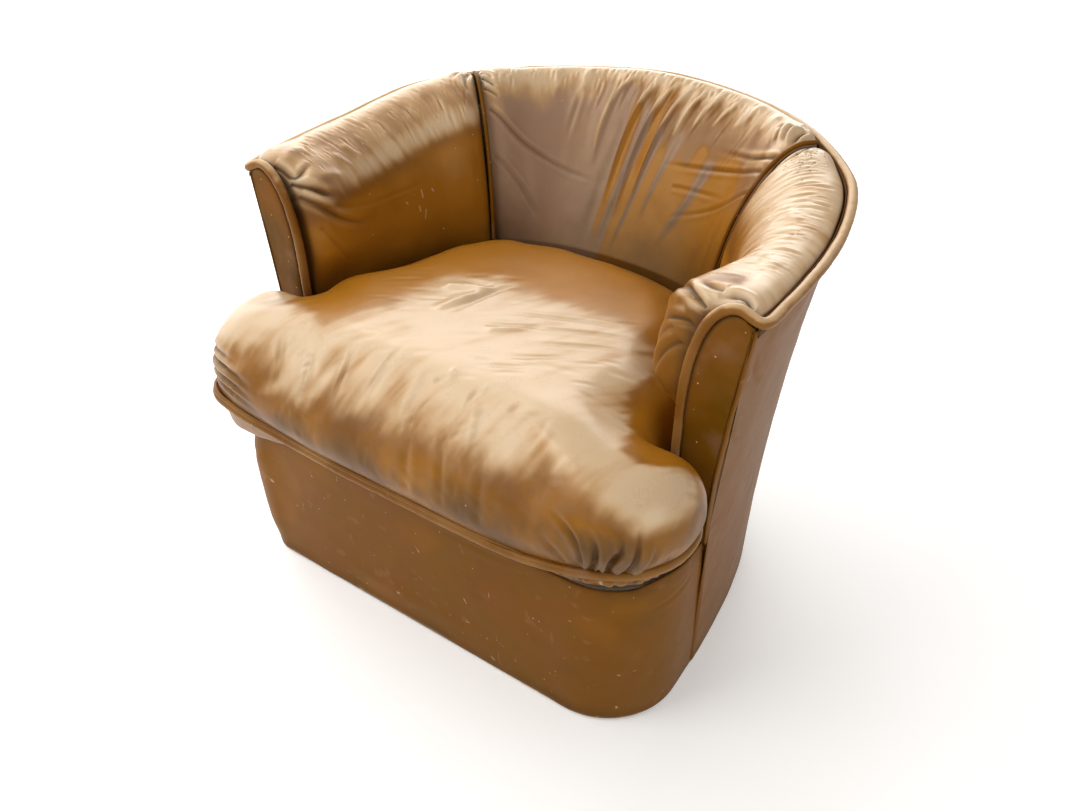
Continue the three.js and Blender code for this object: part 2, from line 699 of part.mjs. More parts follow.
// Closed outline at one level, with each point moved inwards by inset along its normal.
function cushionRing(z, low, top, inset, lift = 0) {
  const half = cushionHalf(low, top, 1);
  const left = cushionHalf(low, top, -1);
  const other = left.slice(1, -1).reverse().map((p) => new THREE.Vector2(-p.x, p.y));
  const loop = [...half, ...other];
  return loop.map((p, i) => {
    const after = loop[(i + 1) % loop.length];
    const before = loop[(i + loop.length - 1) % loop.length];
    const tangent = after.clone().sub(before).normalize();
    const height = z + lift + cornerRise(p, z) + plumpness(p, z);
    return new THREE.Vector3(p.x - tangent.y * inset, p.y + tangent.x * inset, height);
  });
}

// Levels of the cushion: height, share of the low outline and share of the top outline.
const CUSHION_LEVELS = [
  [CUSHION_BOTTOM, 1.9, 0], [282, 1.4, 0], [CUSHION_WELT_LEVEL, WELT_SHARE, 0], [308, 0.88, 0],
  [322, 0.4, 0], [346, 0.05, 0], [384, 0, 0], [412, 0, 0.05], [433, 0, 0.24], [447, 0, 0.58],
  [454, 0, 1],
];
const CUSHION_MIDDLE = 350;
const CUSHION_POLE_Y = -235; // from here every point of an outline is in sight

function cushionSolid(shrink) {
  const rings = CUSHION_LEVELS.map(([z, low, top]) => {
    const share = THREE.MathUtils.clamp((CUSHION_MIDDLE - z) / 60, -1, 1);
    return cushionRing(z, low, top, shrink, share * shrink);
  });
  const bottom = new THREE.Vector3(0, CUSHION_POLE_Y, CUSHION_BOTTOM + shrink);
  const top = new THREE.Vector3(0, CUSHION_POLE_Y, CUSHION_CROWN - shrink);
  return ringBody(rings, bottom, top);
}

// Zip along the back of the cushion, in a slot of its cover.
function zipStrip() {
  const low = ZIP_LEVEL - ZIP_HEIGHT / 2;
  const place = (inset) => (t, z) => {
    const depth = CUSHION_GAP + inset;
    const point = seatCurve.getPoint(t).addScaledVector(outwards(seatCurve, t), -depth);
    return point.setZ(z);
  };
  const along = range(0.5 - ZIP_REACH, 0.5 + ZIP_REACH, 8);
  const up = [low, low + ZIP_HEIGHT];
  return slab(grid(along, up, place(0.4)), grid(along, up, place(2.4)));
}

function zipSlot() {
  const slot = new THREE.BoxGeometry(SLOT_WIDTH, 60, ZIP_HEIGHT + 2);
  slot.translate(0, 180, ZIP_LEVEL);
  return slot;
}

function addCushion() {
  const shell = cut(cushionSolid(0), cushionSolid(COVER_THICK), zipSlot());
  addPart('seat_cushion_cover', shell, 'leather');
  addPart('seat_cushion_foam', cushionSolid(COVER_THICK + 0.8), 'foam');
  addPart('seat_cushion_zip', zipStrip(), 'zip');
  const ring = cushionRing(CUSHION_WELT_LEVEL, WELT_SHARE, 0, -CUSHION_WELT - WELT_CLEARANCE);
  const right = ring.slice(0, CUSHION_FULL.length - 3);
  const left = ring.slice(-(CUSHION_FULL.length - 4));
  addPart('seat_cushion_welt', tube([...left, ...right], CUSHION_WELT, 48, 6), 'piping');
}

// ---- glides ----

function addGlides() {
  const names = ['front_right', 'front_left', 'back_right', 'back_left'];
  const profile = [
    [0, 0], [GLIDE_RADIUS - 2, 0], [GLIDE_RADIUS, 1.5], [GLIDE_RADIUS - 1, GLIDE_THICK],
    [NAIL_RADIUS, GLIDE_THICK], [NAIL_RADIUS, NAIL_TOP - 6], [0, NAIL_TOP],
  ].map(([x, y]) => new THREE.Vector2(x, y));
  names.forEach((name, i) => {
    const glide = new THREE.LatheGeometry(profile, 16);
    glide.rotateX(Math.PI / 2);
    const mesh = addPart(`${name}_glide`, glide, 'glide');
    mesh.position.copy(NAIL_SPOTS[i]);
  });
}

addOutsideCovers();
addOutsideBoards();
addRails();
addPosts();
addFront();
addFacings();
addInside();
addWelts();
addWebbing();
addSheets();
addCushion();
addGlides();

export default group;
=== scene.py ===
"""Worn club chair: the leather, piping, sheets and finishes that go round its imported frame.

Metres, +Z up, the front of the chair towards -Y. Round the tub, t runs from 0 at the right arm's
front, over 0.5 at the middle of the back, to 1 at the left arm's front. Down the inside covers, u
runs from 0 beside the rim welt, over 1 where the cushion meets them, to 2 at their hem.
"""
import math

import bmesh
import bpy
import numpy as np
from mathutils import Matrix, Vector
from mathutils.bvhtree import BVHTree


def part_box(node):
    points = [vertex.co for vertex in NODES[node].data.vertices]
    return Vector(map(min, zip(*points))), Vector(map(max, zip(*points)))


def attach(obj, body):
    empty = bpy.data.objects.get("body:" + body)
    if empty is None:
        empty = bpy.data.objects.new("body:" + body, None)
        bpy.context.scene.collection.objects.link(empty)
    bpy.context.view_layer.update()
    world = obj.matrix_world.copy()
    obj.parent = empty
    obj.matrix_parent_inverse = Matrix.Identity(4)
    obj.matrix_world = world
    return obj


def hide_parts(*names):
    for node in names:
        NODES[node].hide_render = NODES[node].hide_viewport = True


bl_info = {
    "name": "Worn Club Chair",
    "version": (1, 0, 0),
    "blender": (4, 5, 0),
    "location": "3D View > Sidebar > Club Chair",
    "description": "Builds the leather, piping and finishes of a worn tub chair round its frame",
    "category": "Add Mesh",
}

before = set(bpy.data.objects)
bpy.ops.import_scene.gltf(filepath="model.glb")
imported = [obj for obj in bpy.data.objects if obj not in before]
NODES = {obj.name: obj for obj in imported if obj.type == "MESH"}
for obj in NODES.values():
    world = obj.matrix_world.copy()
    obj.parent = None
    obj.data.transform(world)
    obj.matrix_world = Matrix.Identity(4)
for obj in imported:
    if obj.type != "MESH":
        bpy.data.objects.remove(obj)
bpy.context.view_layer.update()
MM = 0.001

# ---- driving dimensions, the same as the frame's ----

# One row per station from the right arm's front to the middle of the back: the outer edge of the
# rim welt, the outside cover at the floor, and the inside cover where the cushion meets it.
STATIONS = (
    ((401, -176, 618), (354, -135), (309, -168)),
    ((407, -76, 625), (351, -68), (287, -86)),
    ((402, 38, 634), (340, 40), (266, 8)),
    ((374, 146, 653), (316, 134), (240, 82)),
    ((306, 239, 665), (261, 212), (197, 140)),
    ((220, 314, 670), (190, 265), (135, 172)),
    ((108, 359, 676), (95, 295), (66, 187)),
    ((0, 369, 681), (0, 303), (0, 191)),
)
CENTRE = np.array([0, 4.15 * MM, 0])  # of the depth, taken off every plan point
STATION_STEP = 1 / (2 * (len(STATIONS) - 1))
SEAM = 4 * STATION_STEP
BACK_START = 5.5 * STATION_STEP
SEAT_LINE = 0.427
COVER_HEM = 0.268
COVER_THICK = 0.003
COVER_DROP = 0.017
FOAM_IN = 0.040  # foam of the inside pads, behind the outer wall and below the rim
FOAM_DROP = 0.044
FLARE_POWER = 2.3
EDGE_LOW = (0.100, -0.135)  # height and depth of the arm's front edge where it stands back
EDGE_HIGH = (0.430, -0.174)
FACING_PROUD = 0.0045
APRON_HALF = 0.354
APRON_FRONT = -0.305
APRON_CORNER_RIGHT = 0.115
APRON_CORNER_LEFT = 0.045
APRON_TOP = 0.257
APRON_LIFT = 0.010  # how much higher the apron's top is at its right end
HEM = 0.003


# ---- small helpers ----

def lerp(a, b, share):
    return a + (b - a) * share


def smooth(x, low, high):
    share = np.clip((x - low) / (high - low), 0, 1)
    return share * share * (3 - 2 * share)


def unit(v):
    return v / np.maximum(np.linalg.norm(v, axis=-1, keepdims=True), 1e-12)


def raised(points, height):
    moved = np.array(points, float)
    moved[..., 2] += height
    return moved


def lattice(cell, seed):
    """Repeatable random number from -1 to 1 for each whole-numbered cell."""
    i, j, k = (cell[..., axis].astype(np.int64).astype(np.uint64) for axis in range(3))
    mixed = i * np.uint64(73856093) ^ j * np.uint64(19349663) ^ k * np.uint64(83492791)
    mixed ^= np.uint64(seed * 2654435761 + 97)
    mixed = (mixed ^ (mixed >> np.uint64(15))) * np.uint64(2246822519)
    mixed = (mixed ^ (mixed >> np.uint64(13))) * np.uint64(3266489917)
    return ((mixed >> np.uint64(16)) & np.uint64(0xFFFF)).astype(float) / 32767.5 - 1


def noise(points, size, seed, octaves=3):
    """Smooth random field between about -1 and 1, with features about size across."""
    total = np.zeros(points.shape[:-1])
    weight, spread = 1.0, 0.0
    for octave in range(octaves):
        place = points / size + 0.37 * octave
        cell = np.floor(place)
        share = place - cell
        share = share * share * (3 - 2 * share)
        value = 0
        for corner in np.ndindex(2, 2, 2):
            part = np.prod(np.where(np.array(corner) == 1, share, 1 - share), axis=-1)
            value = value + part * lattice(cell + corner, seed + octave)
        total += weight * value
        spread += weight
        weight, size = weight / 2, size / 2
    return total / spread


class Line:
    """Smooth curve through points, centripetal, as the frame's curves are."""

    def __init__(self, points):
        p = np.array(points, float)
        self.points = np.vstack([2 * p[0] - p[1], p, 2 * p[-1] - p[-2]])
        self.spans = len(p) - 1

    def at(self, t):
        x = np.clip(np.asarray(t, float), 0, 1) * self.spans
        i = np.minimum(x.astype(int), self.spans - 1)
        w = (x - i)[..., None]
        a, b, c, d = (self.points[i + k] for k in range(4))
        gaps = [np.sqrt(np.linalg.norm(q - p, axis=-1, keepdims=True)) + 1e-9
                for p, q in ((a, b), (b, c), (c, d))]
        leave = (b - a) / gaps[0] - (c - a) / (gaps[0] + gaps[1]) + (c - b) / gaps[1]
        arrive = (c - b) / gaps[1] - (d - b) / (gaps[1] + gaps[2]) + (d - c) / gaps[2]
        leave, arrive = leave * gaps[1], arrive * gaps[1]
        return ((2 * w**3 - 3 * w**2 + 1) * b + (w**3 - 2 * w**2 + w) * leave
                + (3 * w**2 - 2 * w**3) * c + (w**3 - w**2) * arrive)

    def outwards(self, t):
        step = 1e-4
        along = unit(self.at(t + step) - self.at(t - step))
        return unit(np.stack([along[..., 1], -along[..., 0], 0 * along[..., 0]], -1))


# ---- the tub's surfaces ----

def station_line(which):
    right = [(*station[which], 0)[:3] for station in STATIONS]
    left = [(-x, y, z) for x, y, z in right[-2::-1]]
    return Line(np.array(right + left) * MM - CENTRE)


RIM, FLOOR, SEAT = (station_line(which) for which in range(3))


def welt_radius():
    return bpy.context.scene.chair_sizes.rim_welt


def rim_point(t, inset, drop):
    return raised(RIM.at(t) - RIM.outwards(t) * inset, -drop)


def front_edge_y(z):
    share = smooth(z, EDGE_LOW[0], EDGE_HIGH[0])
    return lerp(EDGE_LOW[1], EDGE_HIGH[1], share) - CENTRE[1]


def near_front(t):
    return 1 - smooth(np.minimum(t, 1 - t), 0, 1.3 * STATION_STEP)


def outer_plan(t, z):
    top = rim_point(t, 2 * welt_radius(), 2 * welt_radius() + MM)
    lean = (np.clip(z / top[..., 2], 0, 1) ** FLARE_POWER)[..., None]
    normal = unit(lerp(FLOOR.outwards(t), RIM.outwards(t), lean))
    return lerp(FLOOR.at(t), top, lean), normal


def outer_point(t, z, inset):
    """Point of the outer wall at height z, moved in by inset."""
    t, z = np.broadcast_arrays(np.asarray(t, float), np.asarray(z, float))
    point, normal = outer_plan(t, z)
    front, _ = outer_plan(np.zeros_like(t), z)
    point[..., 1] += (front_edge_y(z) - front[..., 1]) * near_front(t)
    point = point - normal * np.asarray(inset)[..., None]
    point[..., 2] = z
    return point


def backness(t):
    return smooth(np.minimum(t, 1 - t), SEAM - STATION_STEP, BACK_START)


def inside_skin(t, u):
    t, u = np.broadcast_arrays(np.asarray(t, float), np.asarray(u, float))
    rim = rim_point(t, 2 * welt_radius() + 2.5 * MM, welt_radius())
    seat = SEAT.at(t)
    seat[..., 2] = SEAT_LINE
    back = backness(t)
    inwards = seat - rim
    inwards[..., 2] = 0
    high = raised(rim + inwards * lerp(0.48, 0.2, back)[..., None], lerp(0.028, 0.014, back))
    low = raised(seat + inwards * lerp(0.1, -0.42, back)[..., None], lerp(0.173, 0.120, back))
    v = np.clip(u, 0, 1)[..., None]
    point = ((1 - v) ** 3 * rim + 3 * (1 - v) ** 2 * v * high
             + 3 * (1 - v) * v**2 * low + v**3 * seat)
    below = u > 1
    z = lerp(SEAT_LINE, COVER_HEM, np.clip(u - 1, 0, 1))
    point[..., 2] = np.where(below, z, point[..., 2])
    sweep = (front_edge_y(z) - front_edge_y(SEAT_LINE)) * near_front(t)
    point[..., 1] += np.where(below, sweep, 0)
    return point


def inside_point(t, u, depth):
    """Point of the inside covers moved into the upholstery by depth."""
    t, u = np.broadcast_arrays(np.asarray(t, float), np.asarray(u, float))
    step = 0.002
    along = inside_skin(np.minimum(t + step, 1), u) - inside_skin(np.maximum(t - step, 0), u)
    first = np.maximum(np.minimum(u, 2) - step, 0)
    down = inside_skin(t, np.minimum(first + 2 * step, 2)) - inside_skin(t, first)
    return inside_skin(t, u) - unit(np.cross(along, down)) * depth


def facing_y(z):
    return front_edge_y(z) - FACING_PROUD


# ---- meshes ----

def add_marks(mesh, marks):
    for mark, values in marks.items():
        layer = mesh.attributes.new(mark, "FLOAT", "POINT")
        layer.data.foreach_set("value", np.clip(values, 0, 1).astype(np.float32))


def make_object(name, points, faces, material, marks=None):
    mesh = bpy.data.meshes.new(name)
    mesh.from_pydata(np.asarray(points).reshape(-1, 3).tolist(), [], faces)
    mesh.validate()
    add_marks(mesh, marks or {})
    obj = bpy.data.objects.new(name, mesh)
    bpy.context.scene.collection.objects.link(obj)
    outwards(mesh)
    mesh.shade_smooth()
    mesh.materials.append(material)
    return obj


def outwards(mesh):
    """Turns the faces of a closed mesh outwards."""
    work = bmesh.new()
    work.from_mesh(mesh)
    bmesh.ops.recalc_face_normals(work, faces=work.faces)
    if work.calc_volume(signed=True) < 0:
        bmesh.ops.reverse_faces(work, faces=work.faces)
    work.to_mesh(mesh)
    work.free()


def loft_faces(rings, around):
    """Faces of a closed body of rings of the same size, one after the other."""
    faces = []
    for i in range(rings - 1):
        for j in range(around):
            k = (j + 1) % around
            faces.append((i * around + j, i * around + k, (i + 1) * around + k, (i + 1) * around + j))
    return faces


def loft(name, rings, material, marks=None):
    """Closed body through rings of points, its two ends closed to their middles."""
    count, around = rings.shape[:2]
    ends = np.stack([rings[0].mean(0), rings[-1].mean(0)])
    points = np.vstack([rings.reshape(-1, 3), ends])
    faces = loft_faces(count, around)
    last = (count - 1) * around
    for j in range(around):
        k = (j + 1) % around
        faces.append((count * around, k, j))
        faces.append((count * around + 1, last + j, last + k))
    padded = {key: np.append(value.reshape(-1), [0, 0]) for key, value in (marks or {}).items()}
    return make_object(name, points, faces, material, padded)


def keep_result(obj):
    """Replaces the mesh of obj by what its modifiers make of it."""
    graph = bpy.context.evaluated_depsgraph_get()
    made = bpy.data.meshes.new_from_object(obj.evaluated_get(graph))
    obj.modifiers.clear()
    old = obj.data
    obj.data = made
    bpy.data.meshes.remove(old)


def coordinates(mesh, kind="co"):
    values = np.zeros(len(mesh.vertices) * 3)
    if kind == "co":
        mesh.vertices.foreach_get("co", values)
    else:
        mesh.vertex_normals.foreach_get("vector", values)
    return values.reshape(-1, 3)


def finish_piece(obj, slot, *nodes):
    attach(obj, "root")
    if nodes:
        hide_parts(*nodes)
    return obj


# ---- marks on a skin of leather: wear, dirt, and painted sheen, reflection and shade ----

# The first two marks are wear and fading together with painted sheen and painted reflection; the third is
# painted shade in creases and seams; the fourth is dirt together with painted shade; scratches and the orange
# of kept dye are the leather's own colour.
MARKS = ("wear_and_sheen", "faded_and_reflection", "crease", "dirt_and_shade", "scratch", "fiery")


class Skin:
    """Points of one leather surface, how far each is lifted along its normal, and its marks.

    locate turns a maker's coordinates on the surface into points.
    """

    def __init__(self, points, normals, locate):
        self.points = points.reshape(-1, 3)
        self.normals = normals.reshape(-1, 3)
        self.locate = locate
        self.lift = np.zeros(len(self.points))
        self.marks = {mark: np.zeros(len(self.points)) for mark in MARKS}

    def stroke(self, path, reach, samples=28):
        """The points within reach of a path: their numbers, distances, sides and shares along."""
        share = np.linspace(0, 1, samples)
        path = np.array(path, float)
        line = self.locate(Line(path).at(share) if len(path) > 2 else lerp(path[0], path[1], share[:, None]))
        low, high = line.min(0) - reach, line.max(0) + reach
        near = np.flatnonzero(np.all((self.points > low) & (self.points < high), axis=1))
        if not len(near):
            return near, np.zeros(0), np.zeros(0), np.zeros(0)
        away = self.points[near][:, None] - line[None]
        distance = np.linalg.norm(away, axis=2)
        closest = distance.argmin(1)
        rows = np.arange(len(near))
        along = unit(np.gradient(line, axis=0))[closest]
        offset = away[rows, closest]
        run = (offset * along).sum(1)
        step = np.linalg.norm(line[-1] - line[0]) / samples + 1e-9
        share_at = np.clip(share[closest] + run / step / samples, 0, 1)
        inner = (closest > 0) & (closest < samples - 1)
        offset = np.where(inner[:, None], offset - run[:, None] * along, offset)
        side = (offset * unit(np.cross(self.normals[near], along))).sum(1)
        return near, np.linalg.norm(offset, axis=1), side, share_at

    @staticmethod
    def taper(share, start, end):
        rise = smooth(share, 0, start) if start > 0 else 1
        fall = 1 - smooth(share, 1 - end, 1) if end > 0 else 1
        return rise * fall

    def crease(self, path, depth, width, start=0.15, end=0.4, swell=0.45, dark=0.8):
        """Sharp valley with a swelling on each side, painted shade in the valley and a painted highlight on
        the swellings.
        """
        near, distance, _, share = self.stroke(path, 5 * width)
        taper = self.taper(share, start, end)
        valley = np.exp(-((distance / width) ** 2))
        shoulder = np.exp(-(((distance - 2.1 * width) / (1.2 * width)) ** 2))
        self.lift[near] += depth * taper * (swell * shoulder - valley)
        self.marks["crease"][near] += dark * taper * np.exp(-((distance / (0.65 * width)) ** 2))
        self.marks["wear_and_sheen"][near] += 0.35 * dark * taper * shoulder

    def fold(self, path, height, width, lean=0.0, start=0.2, end=0.4):
        """Soft ridge, steeper on one side by lean."""
        near, _, side, share = self.stroke(path, 3.2 * width)
        wide = width * np.where(side > 0, 1 + lean, 1 - lean)
        self.lift[near] += height * self.taper(share, start, end) * np.exp(-((side / wide) ** 2))

    def band(self, mark, path, amount, width, start=0.25, end=0.25, power=2):
        """Strip of one mark along a path."""
        near, distance, _, share = self.stroke(path, 2.2 * width)
        taper = self.taper(share, start, end)
        self.marks[mark][near] += amount * taper * np.exp(-((distance / width) ** power))

    def moved(self):
        return self.points + self.normals * self.lift[:, None]


# ---- finishes ----

class Wire:
    """A socket of a shader, so that sums on it read as sums."""

    def __init__(self, shader, socket):
        self.shader = shader
        self.socket = socket

    def maths(self, operation, *values):
        return self.shader.make("ShaderNodeMath", {"operation": operation}, dict(enumerate(values)))

    def __add__(self, other):
        return self.maths("ADD", self, other)

    def __sub__(self, other):
        return self.maths("SUBTRACT", self, other)

    def __rsub__(self, other):
        return self.maths("SUBTRACT", other, self)

    def __mul__(self, other):
        return self.maths("MULTIPLY", self, other)

    def __gt__(self, other):
        return self.maths("GREATER_THAN", self, other)

    def __lt__(self, other):
        return self.maths("LESS_THAN", self, other)

    __radd__ = __add__
    __rmul__ = __mul__

    def sine(self):
        return self.maths("SINE", self)

    def step(self, low, high):
        """0 below low, 1 above high, and smooth between them."""
        values = {"Value": self, "From Min": low, "From Max": high}
        return self.shader.make("ShaderNodeMapRange", {"interpolation_type": "SMOOTHSTEP"}, values)


class Shader:
    """A material under construction."""

    def __init__(self, name):
        self.material = bpy.data.materials.new(name)
        self.material.use_nodes = True
        self.tree = self.material.node_tree
        self.tree.nodes.clear()

    def make(self, kind, settings=None, values=None, out=0):
        node = self.tree.nodes.new(kind)
        for key, value in (settings or {}).items():
            setattr(node, key, value)
        for key, value in (values or {}).items():
            if isinstance(value, Wire):
                self.tree.links.new(value.socket, node.inputs[key])
            else:
                node.inputs[key].default_value = value
        return Wire(self, node.outputs[out])

    def place(self):
        return self.make("ShaderNodeTexCoord", out="Object")

    def mark(self, name):
        return self.make("ShaderNodeAttribute", {"attribute_name": name}, out="Fac")

    def noise(self, place, scale, detail=4.0, warp=0.0, out="Fac"):
        values = {"Vector": place, "Scale": scale, "Detail": detail, "Distortion": warp}
        return self.make("ShaderNodeTexNoise", None, values, out)

    def cells(self, place, scale, feature="F1", out="Distance"):
        return self.make("ShaderNodeTexVoronoi", {"feature": feature}, {"Vector": place, "Scale": scale}, out)

    def parts(self, place):
        """The three coordinates of a place."""
        first = self.make("ShaderNodeSeparateXYZ", None, {0: place})
        return first, *(Wire(self, first.socket.node.outputs[axis]) for axis in (1, 2))

    def stretched(self, place, x, y, z):
        return self.make("ShaderNodeVectorMath", {"operation": "MULTIPLY"}, {0: place, 1: (x, y, z)})

    def reach(self, place):
        return self.make("ShaderNodeVectorMath", {"operation": "LENGTH"}, {0: place}, "Value")

    def shifted(self, place, other, amount):
        scaled = self.make("ShaderNodeVectorMath", {"operation": "SCALE"}, {0: other, "Scale": amount})
        return self.make("ShaderNodeVectorMath", {"operation": "ADD"}, {0: place, 1: scaled})

    def mix(self, share, a, b):
        first, second = ((*tone, 1) if isinstance(tone, tuple) else tone for tone in (a, b))
        return self.make("ShaderNodeMix", {"data_type": "RGBA"}, {0: share, 6: first, 7: second}, 2)

    def bump(self, height, distance, strength=1.0):
        values = {"Height": height, "Distance": distance, "Strength": strength}
        return self.make("ShaderNodeBump", None, values)

    def finish(self, **values):
        sockets = {key.replace("_", " "): value for key, value in values.items()}
        surface = self.make("ShaderNodeBsdfPrincipled", None, sockets)
        self.make_output(surface)
        return self.material

    def make_output(self, surface):
        output = self.tree.nodes.new("ShaderNodeOutputMaterial")
        self.tree.links.new(surface.socket, output.inputs["Surface"])


def colour(name):
    return tuple(getattr(bpy.context.scene.chair_colours, name))


FINISHES = {}


def finish_of(name, build):
    """Each finish is made once."""
    if name not in FINISHES:
        FINISHES[name] = build(name)
    return FINISHES[name]


def leather(name, tan, gloss, coat, shine, speck_share, cloudy):
    """Worn leather: mottled, with its marks of wear, dirt, painted sheen, painted reflection and painted
    shade, a fine grain, small cracks where it is bare, and nicks.
    """
    s = Shader(name)
    place = s.place()
    patches = s.noise(place, 8, 4, 0.6)
    cloud = s.noise(place, 34, 5)
    fine = s.noise(place, 210, 4)
    drift = s.shifted(place, s.noise(place, 60, 2, out="Color"), 0.012)
    wear_and_sheen, faded_and_reflection, fiery = s.mark("wear_and_sheen"), s.mark("faded_and_reflection"), s.mark("fiery")
    crease, dirt_and_shade, scratch = s.mark("crease"), s.mark("dirt_and_shade"), s.mark("scratch")
    # Pale and cream where the leather is rubbed bare and where a sheen of light is painted.
    bare_and_sheen = (wear_and_sheen + (cloud - 0.5) * 0.14 + (fine - 0.5) * 0.06).step(0.0, 1.0)
    tone = s.mix(patches.step(0.32, 0.68), colour("deep"), tan)
    tone = s.mix(cloud.step(0.45, 0.75) * cloudy, tone, colour("shade"))
    tone = s.mix((fiery + (cloud - 0.5) * 0.2).step(0.0, 1.0) * 0.85, tone, colour("fiery"))
    # Mauve where the leather is faded and where a sky reflection is painted.
    tone = s.mix((faded_and_reflection + (cloud - 0.5) * 0.25).step(0.0, 1.0) * 0.9, tone, colour("faded_and_reflection"))
    tone = s.mix(bare_and_sheen.step(0.0, 0.65), tone, colour("pale"))
    tone = s.mix(bare_and_sheen.step(0.4, 1.0), tone, colour("cream"))
    # Dark brown where there is dirt and where shade is painted: in corners, under overhangs and on faces that
    # look away from the light.
    dirt_and_shade_share = (dirt_and_shade + (cloud - 0.5) * 0.3).step(0.0, 1.0)
    tone = s.mix(dirt_and_shade_share * 0.85, tone, colour("dirt_and_shade"))
    veins = s.cells(drift, 125, "DISTANCE_TO_EDGE")
    crack = (1 - veins.step(0.0, 0.06)) * (bare_and_sheen * 0.4 + 0.05) * cloud.step(0.4, 0.65)
    tone = s.mix(crack * 0.3, tone, colour("shade"))
    # Near black along creases and seams: painted shade at the bottom of each valley.
    tone = s.mix(crease.step(0.0, 1.0) * 0.85, tone, colour("crease_shade"))
    specks = s.cells(place, 110)
    chosen = s.make("ShaderNodeSeparateColor", None, {0: s.cells(place, 110, out="Color")})
    nick = (specks < 0.12) * (chosen < speck_share)
    tone = s.mix((nick + scratch.step(0.35, 0.8)).step(0, 1) * 0.7, tone, colour("raw"))
    rough = gloss + (cloud - 0.5) * 0.10 + bare_and_sheen * 0.04 + dirt_and_shade_share * 0.15 + crease * 0.25
    pores = s.cells(place, 620)
    grain = pores * 0.35 + fine * 0.65
    height = grain * (1.0 - bare_and_sheen * 0.3) - crack * 0.8 + cloud * 1.2
    normal = s.bump(height, 0.00018)
    return s.finish(Base_Color=tone, Roughness=rough, Normal=normal, Coat_Weight=(bare_and_sheen + 0.1) * coat,
                    Coat_Roughness=0.28, Specular_IOR_Level=shine, Specular_Tint=(1.0, 0.76, 0.42, 1))


# Colour, gloss, coat, shine, share of nicks and cloudiness of each leather.
LEATHERS = {
    "inside_leather": ("tan", 0.36, 0.55, 0.35, 0.02, 0.16),
    "seat_leather": ("tan", 0.34, 0.60, 0.35, 0.01, 0.16),
    "outside_leather": ("outside", 0.46, 0.10, 0.10, 0.05, 0.12),
    "facing_leather": ("olive", 0.44, 0.10, 0.10, 0.25, 0.15),
    "piping_leather": ("piping", 0.40, 0.25, 0.25, 0.02, 0.16),
}


def leather_of(name):
    tan, *look = LEATHERS[name]
    return finish_of(name, lambda n: leather(n, colour(tan), *look))


def raw_wood(name):
    s = Shader(name)
    place = s.place()
    rings = s.noise(s.stretched(place, 6, 40, 40), 6, 5, 1.5)
    fibre = s.noise(s.stretched(place, 20, 300, 300), 4, 3)
    tone = s.mix(rings.step(0.35, 0.65), (0.50, 0.31, 0.15), (0.66, 0.46, 0.26))
    tone = s.mix(fibre.step(0.5, 0.8) * 0.4, tone, (0.30, 0.17, 0.08))
    return s.finish(Base_Color=tone, Roughness=0.62 + (fibre - 0.5) * 0.2, Normal=s.bump(fibre, 0.0004))


def grey_board(name):
    s = Shader(name)
    place = s.place()
    pulp = s.noise(place, 160, 6)
    stain = s.noise(place, 9, 3)
    tone = s.mix(pulp, (0.26, 0.20, 0.13), (0.42, 0.34, 0.24))
    tone = s.mix(stain.step(0.5, 0.8) * 0.5, tone, (0.18, 0.13, 0.08))
    return s.finish(Base_Color=tone, Roughness=0.86 + (pulp - 0.5) * 0.1, Normal=s.bump(pulp, 0.0006))


def woven(name, dark, light, pitch):
    """Plain weave, with threads pitch apart."""
    s = Shader(name)
    turns = 2 * math.pi / pitch
    across, down, _ = s.parts(s.place())
    weft, warp = (across * turns).sine(), (down * turns).sine()
    over = weft * warp
    fuzz = s.noise(s.place(), 700, 3)
    tone = s.mix(over.step(-0.6, 0.6) * 0.7 + fuzz * 0.3, dark, light)
    return s.finish(Base_Color=tone, Roughness=0.88 + (fuzz - 0.5) * 0.1, Normal=s.bump(over + fuzz, 0.0004))


# Dark thread, light thread and thread pitch of each cloth.
WEAVES = {
    "lining_cloth": ((0.018, 0.016, 0.013), (0.05, 0.045, 0.038), 0.0016),
    "platform_cloth": ((0.10, 0.08, 0.055), (0.23, 0.19, 0.14), 0.0018),
    "webbing": ((0.035, 0.03, 0.026), (0.12, 0.10, 0.08), 0.0024),
}


def weave(name):
    return woven(name, *WEAVES[name])


def foam_finish(name):
    s = Shader(name)
    cell = s.cells(s.place(), 420)
    age = s.noise(s.place(), 12, 3)
    tone = s.mix(age, (0.62, 0.50, 0.26), (0.78, 0.70, 0.46))
    return s.finish(Base_Color=tone, Roughness=0.93 - cell * 0.05, Normal=s.bump(cell, 0.0007))


def zip_finish(name):
    """Cloth tape with a line of brass teeth along its middle."""
    tooth_pitch, teeth_half = 0.003, 0.0025
    s = Shader(name)
    across, _, height = s.parts(s.place())
    low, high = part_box("seat_cushion_zip")
    off = height - (low.z + high.z) / 2
    teeth = ((across * (2 * math.pi / tooth_pitch)).sine() > 0.0) * (off * off < teeth_half**2)
    tone = s.mix(teeth, (0.09, 0.06, 0.04), (0.45, 0.33, 0.14))
    normal = s.bump(teeth, 0.0006)
    return s.finish(Base_Color=tone, Roughness=0.8 - teeth * 0.45, Metallic=teeth, Normal=normal)


def glide_metal(name):
    s = Shader(name)
    rub = s.noise(s.place(), 300, 4)
    rust = s.noise(s.place(), 90, 4).step(0.55, 0.75)
    tone = s.mix(rust, s.mix(rub, (0.30, 0.30, 0.31), (0.52, 0.52, 0.52)), (0.18, 0.07, 0.03))
    rough = 0.34 + rub * 0.2 + rust * 0.3
    return s.finish(Base_Color=tone, Roughness=rough, Metallic=1 - rust, Normal=s.bump(rub, 0.0002))


# ---- inside pads ----

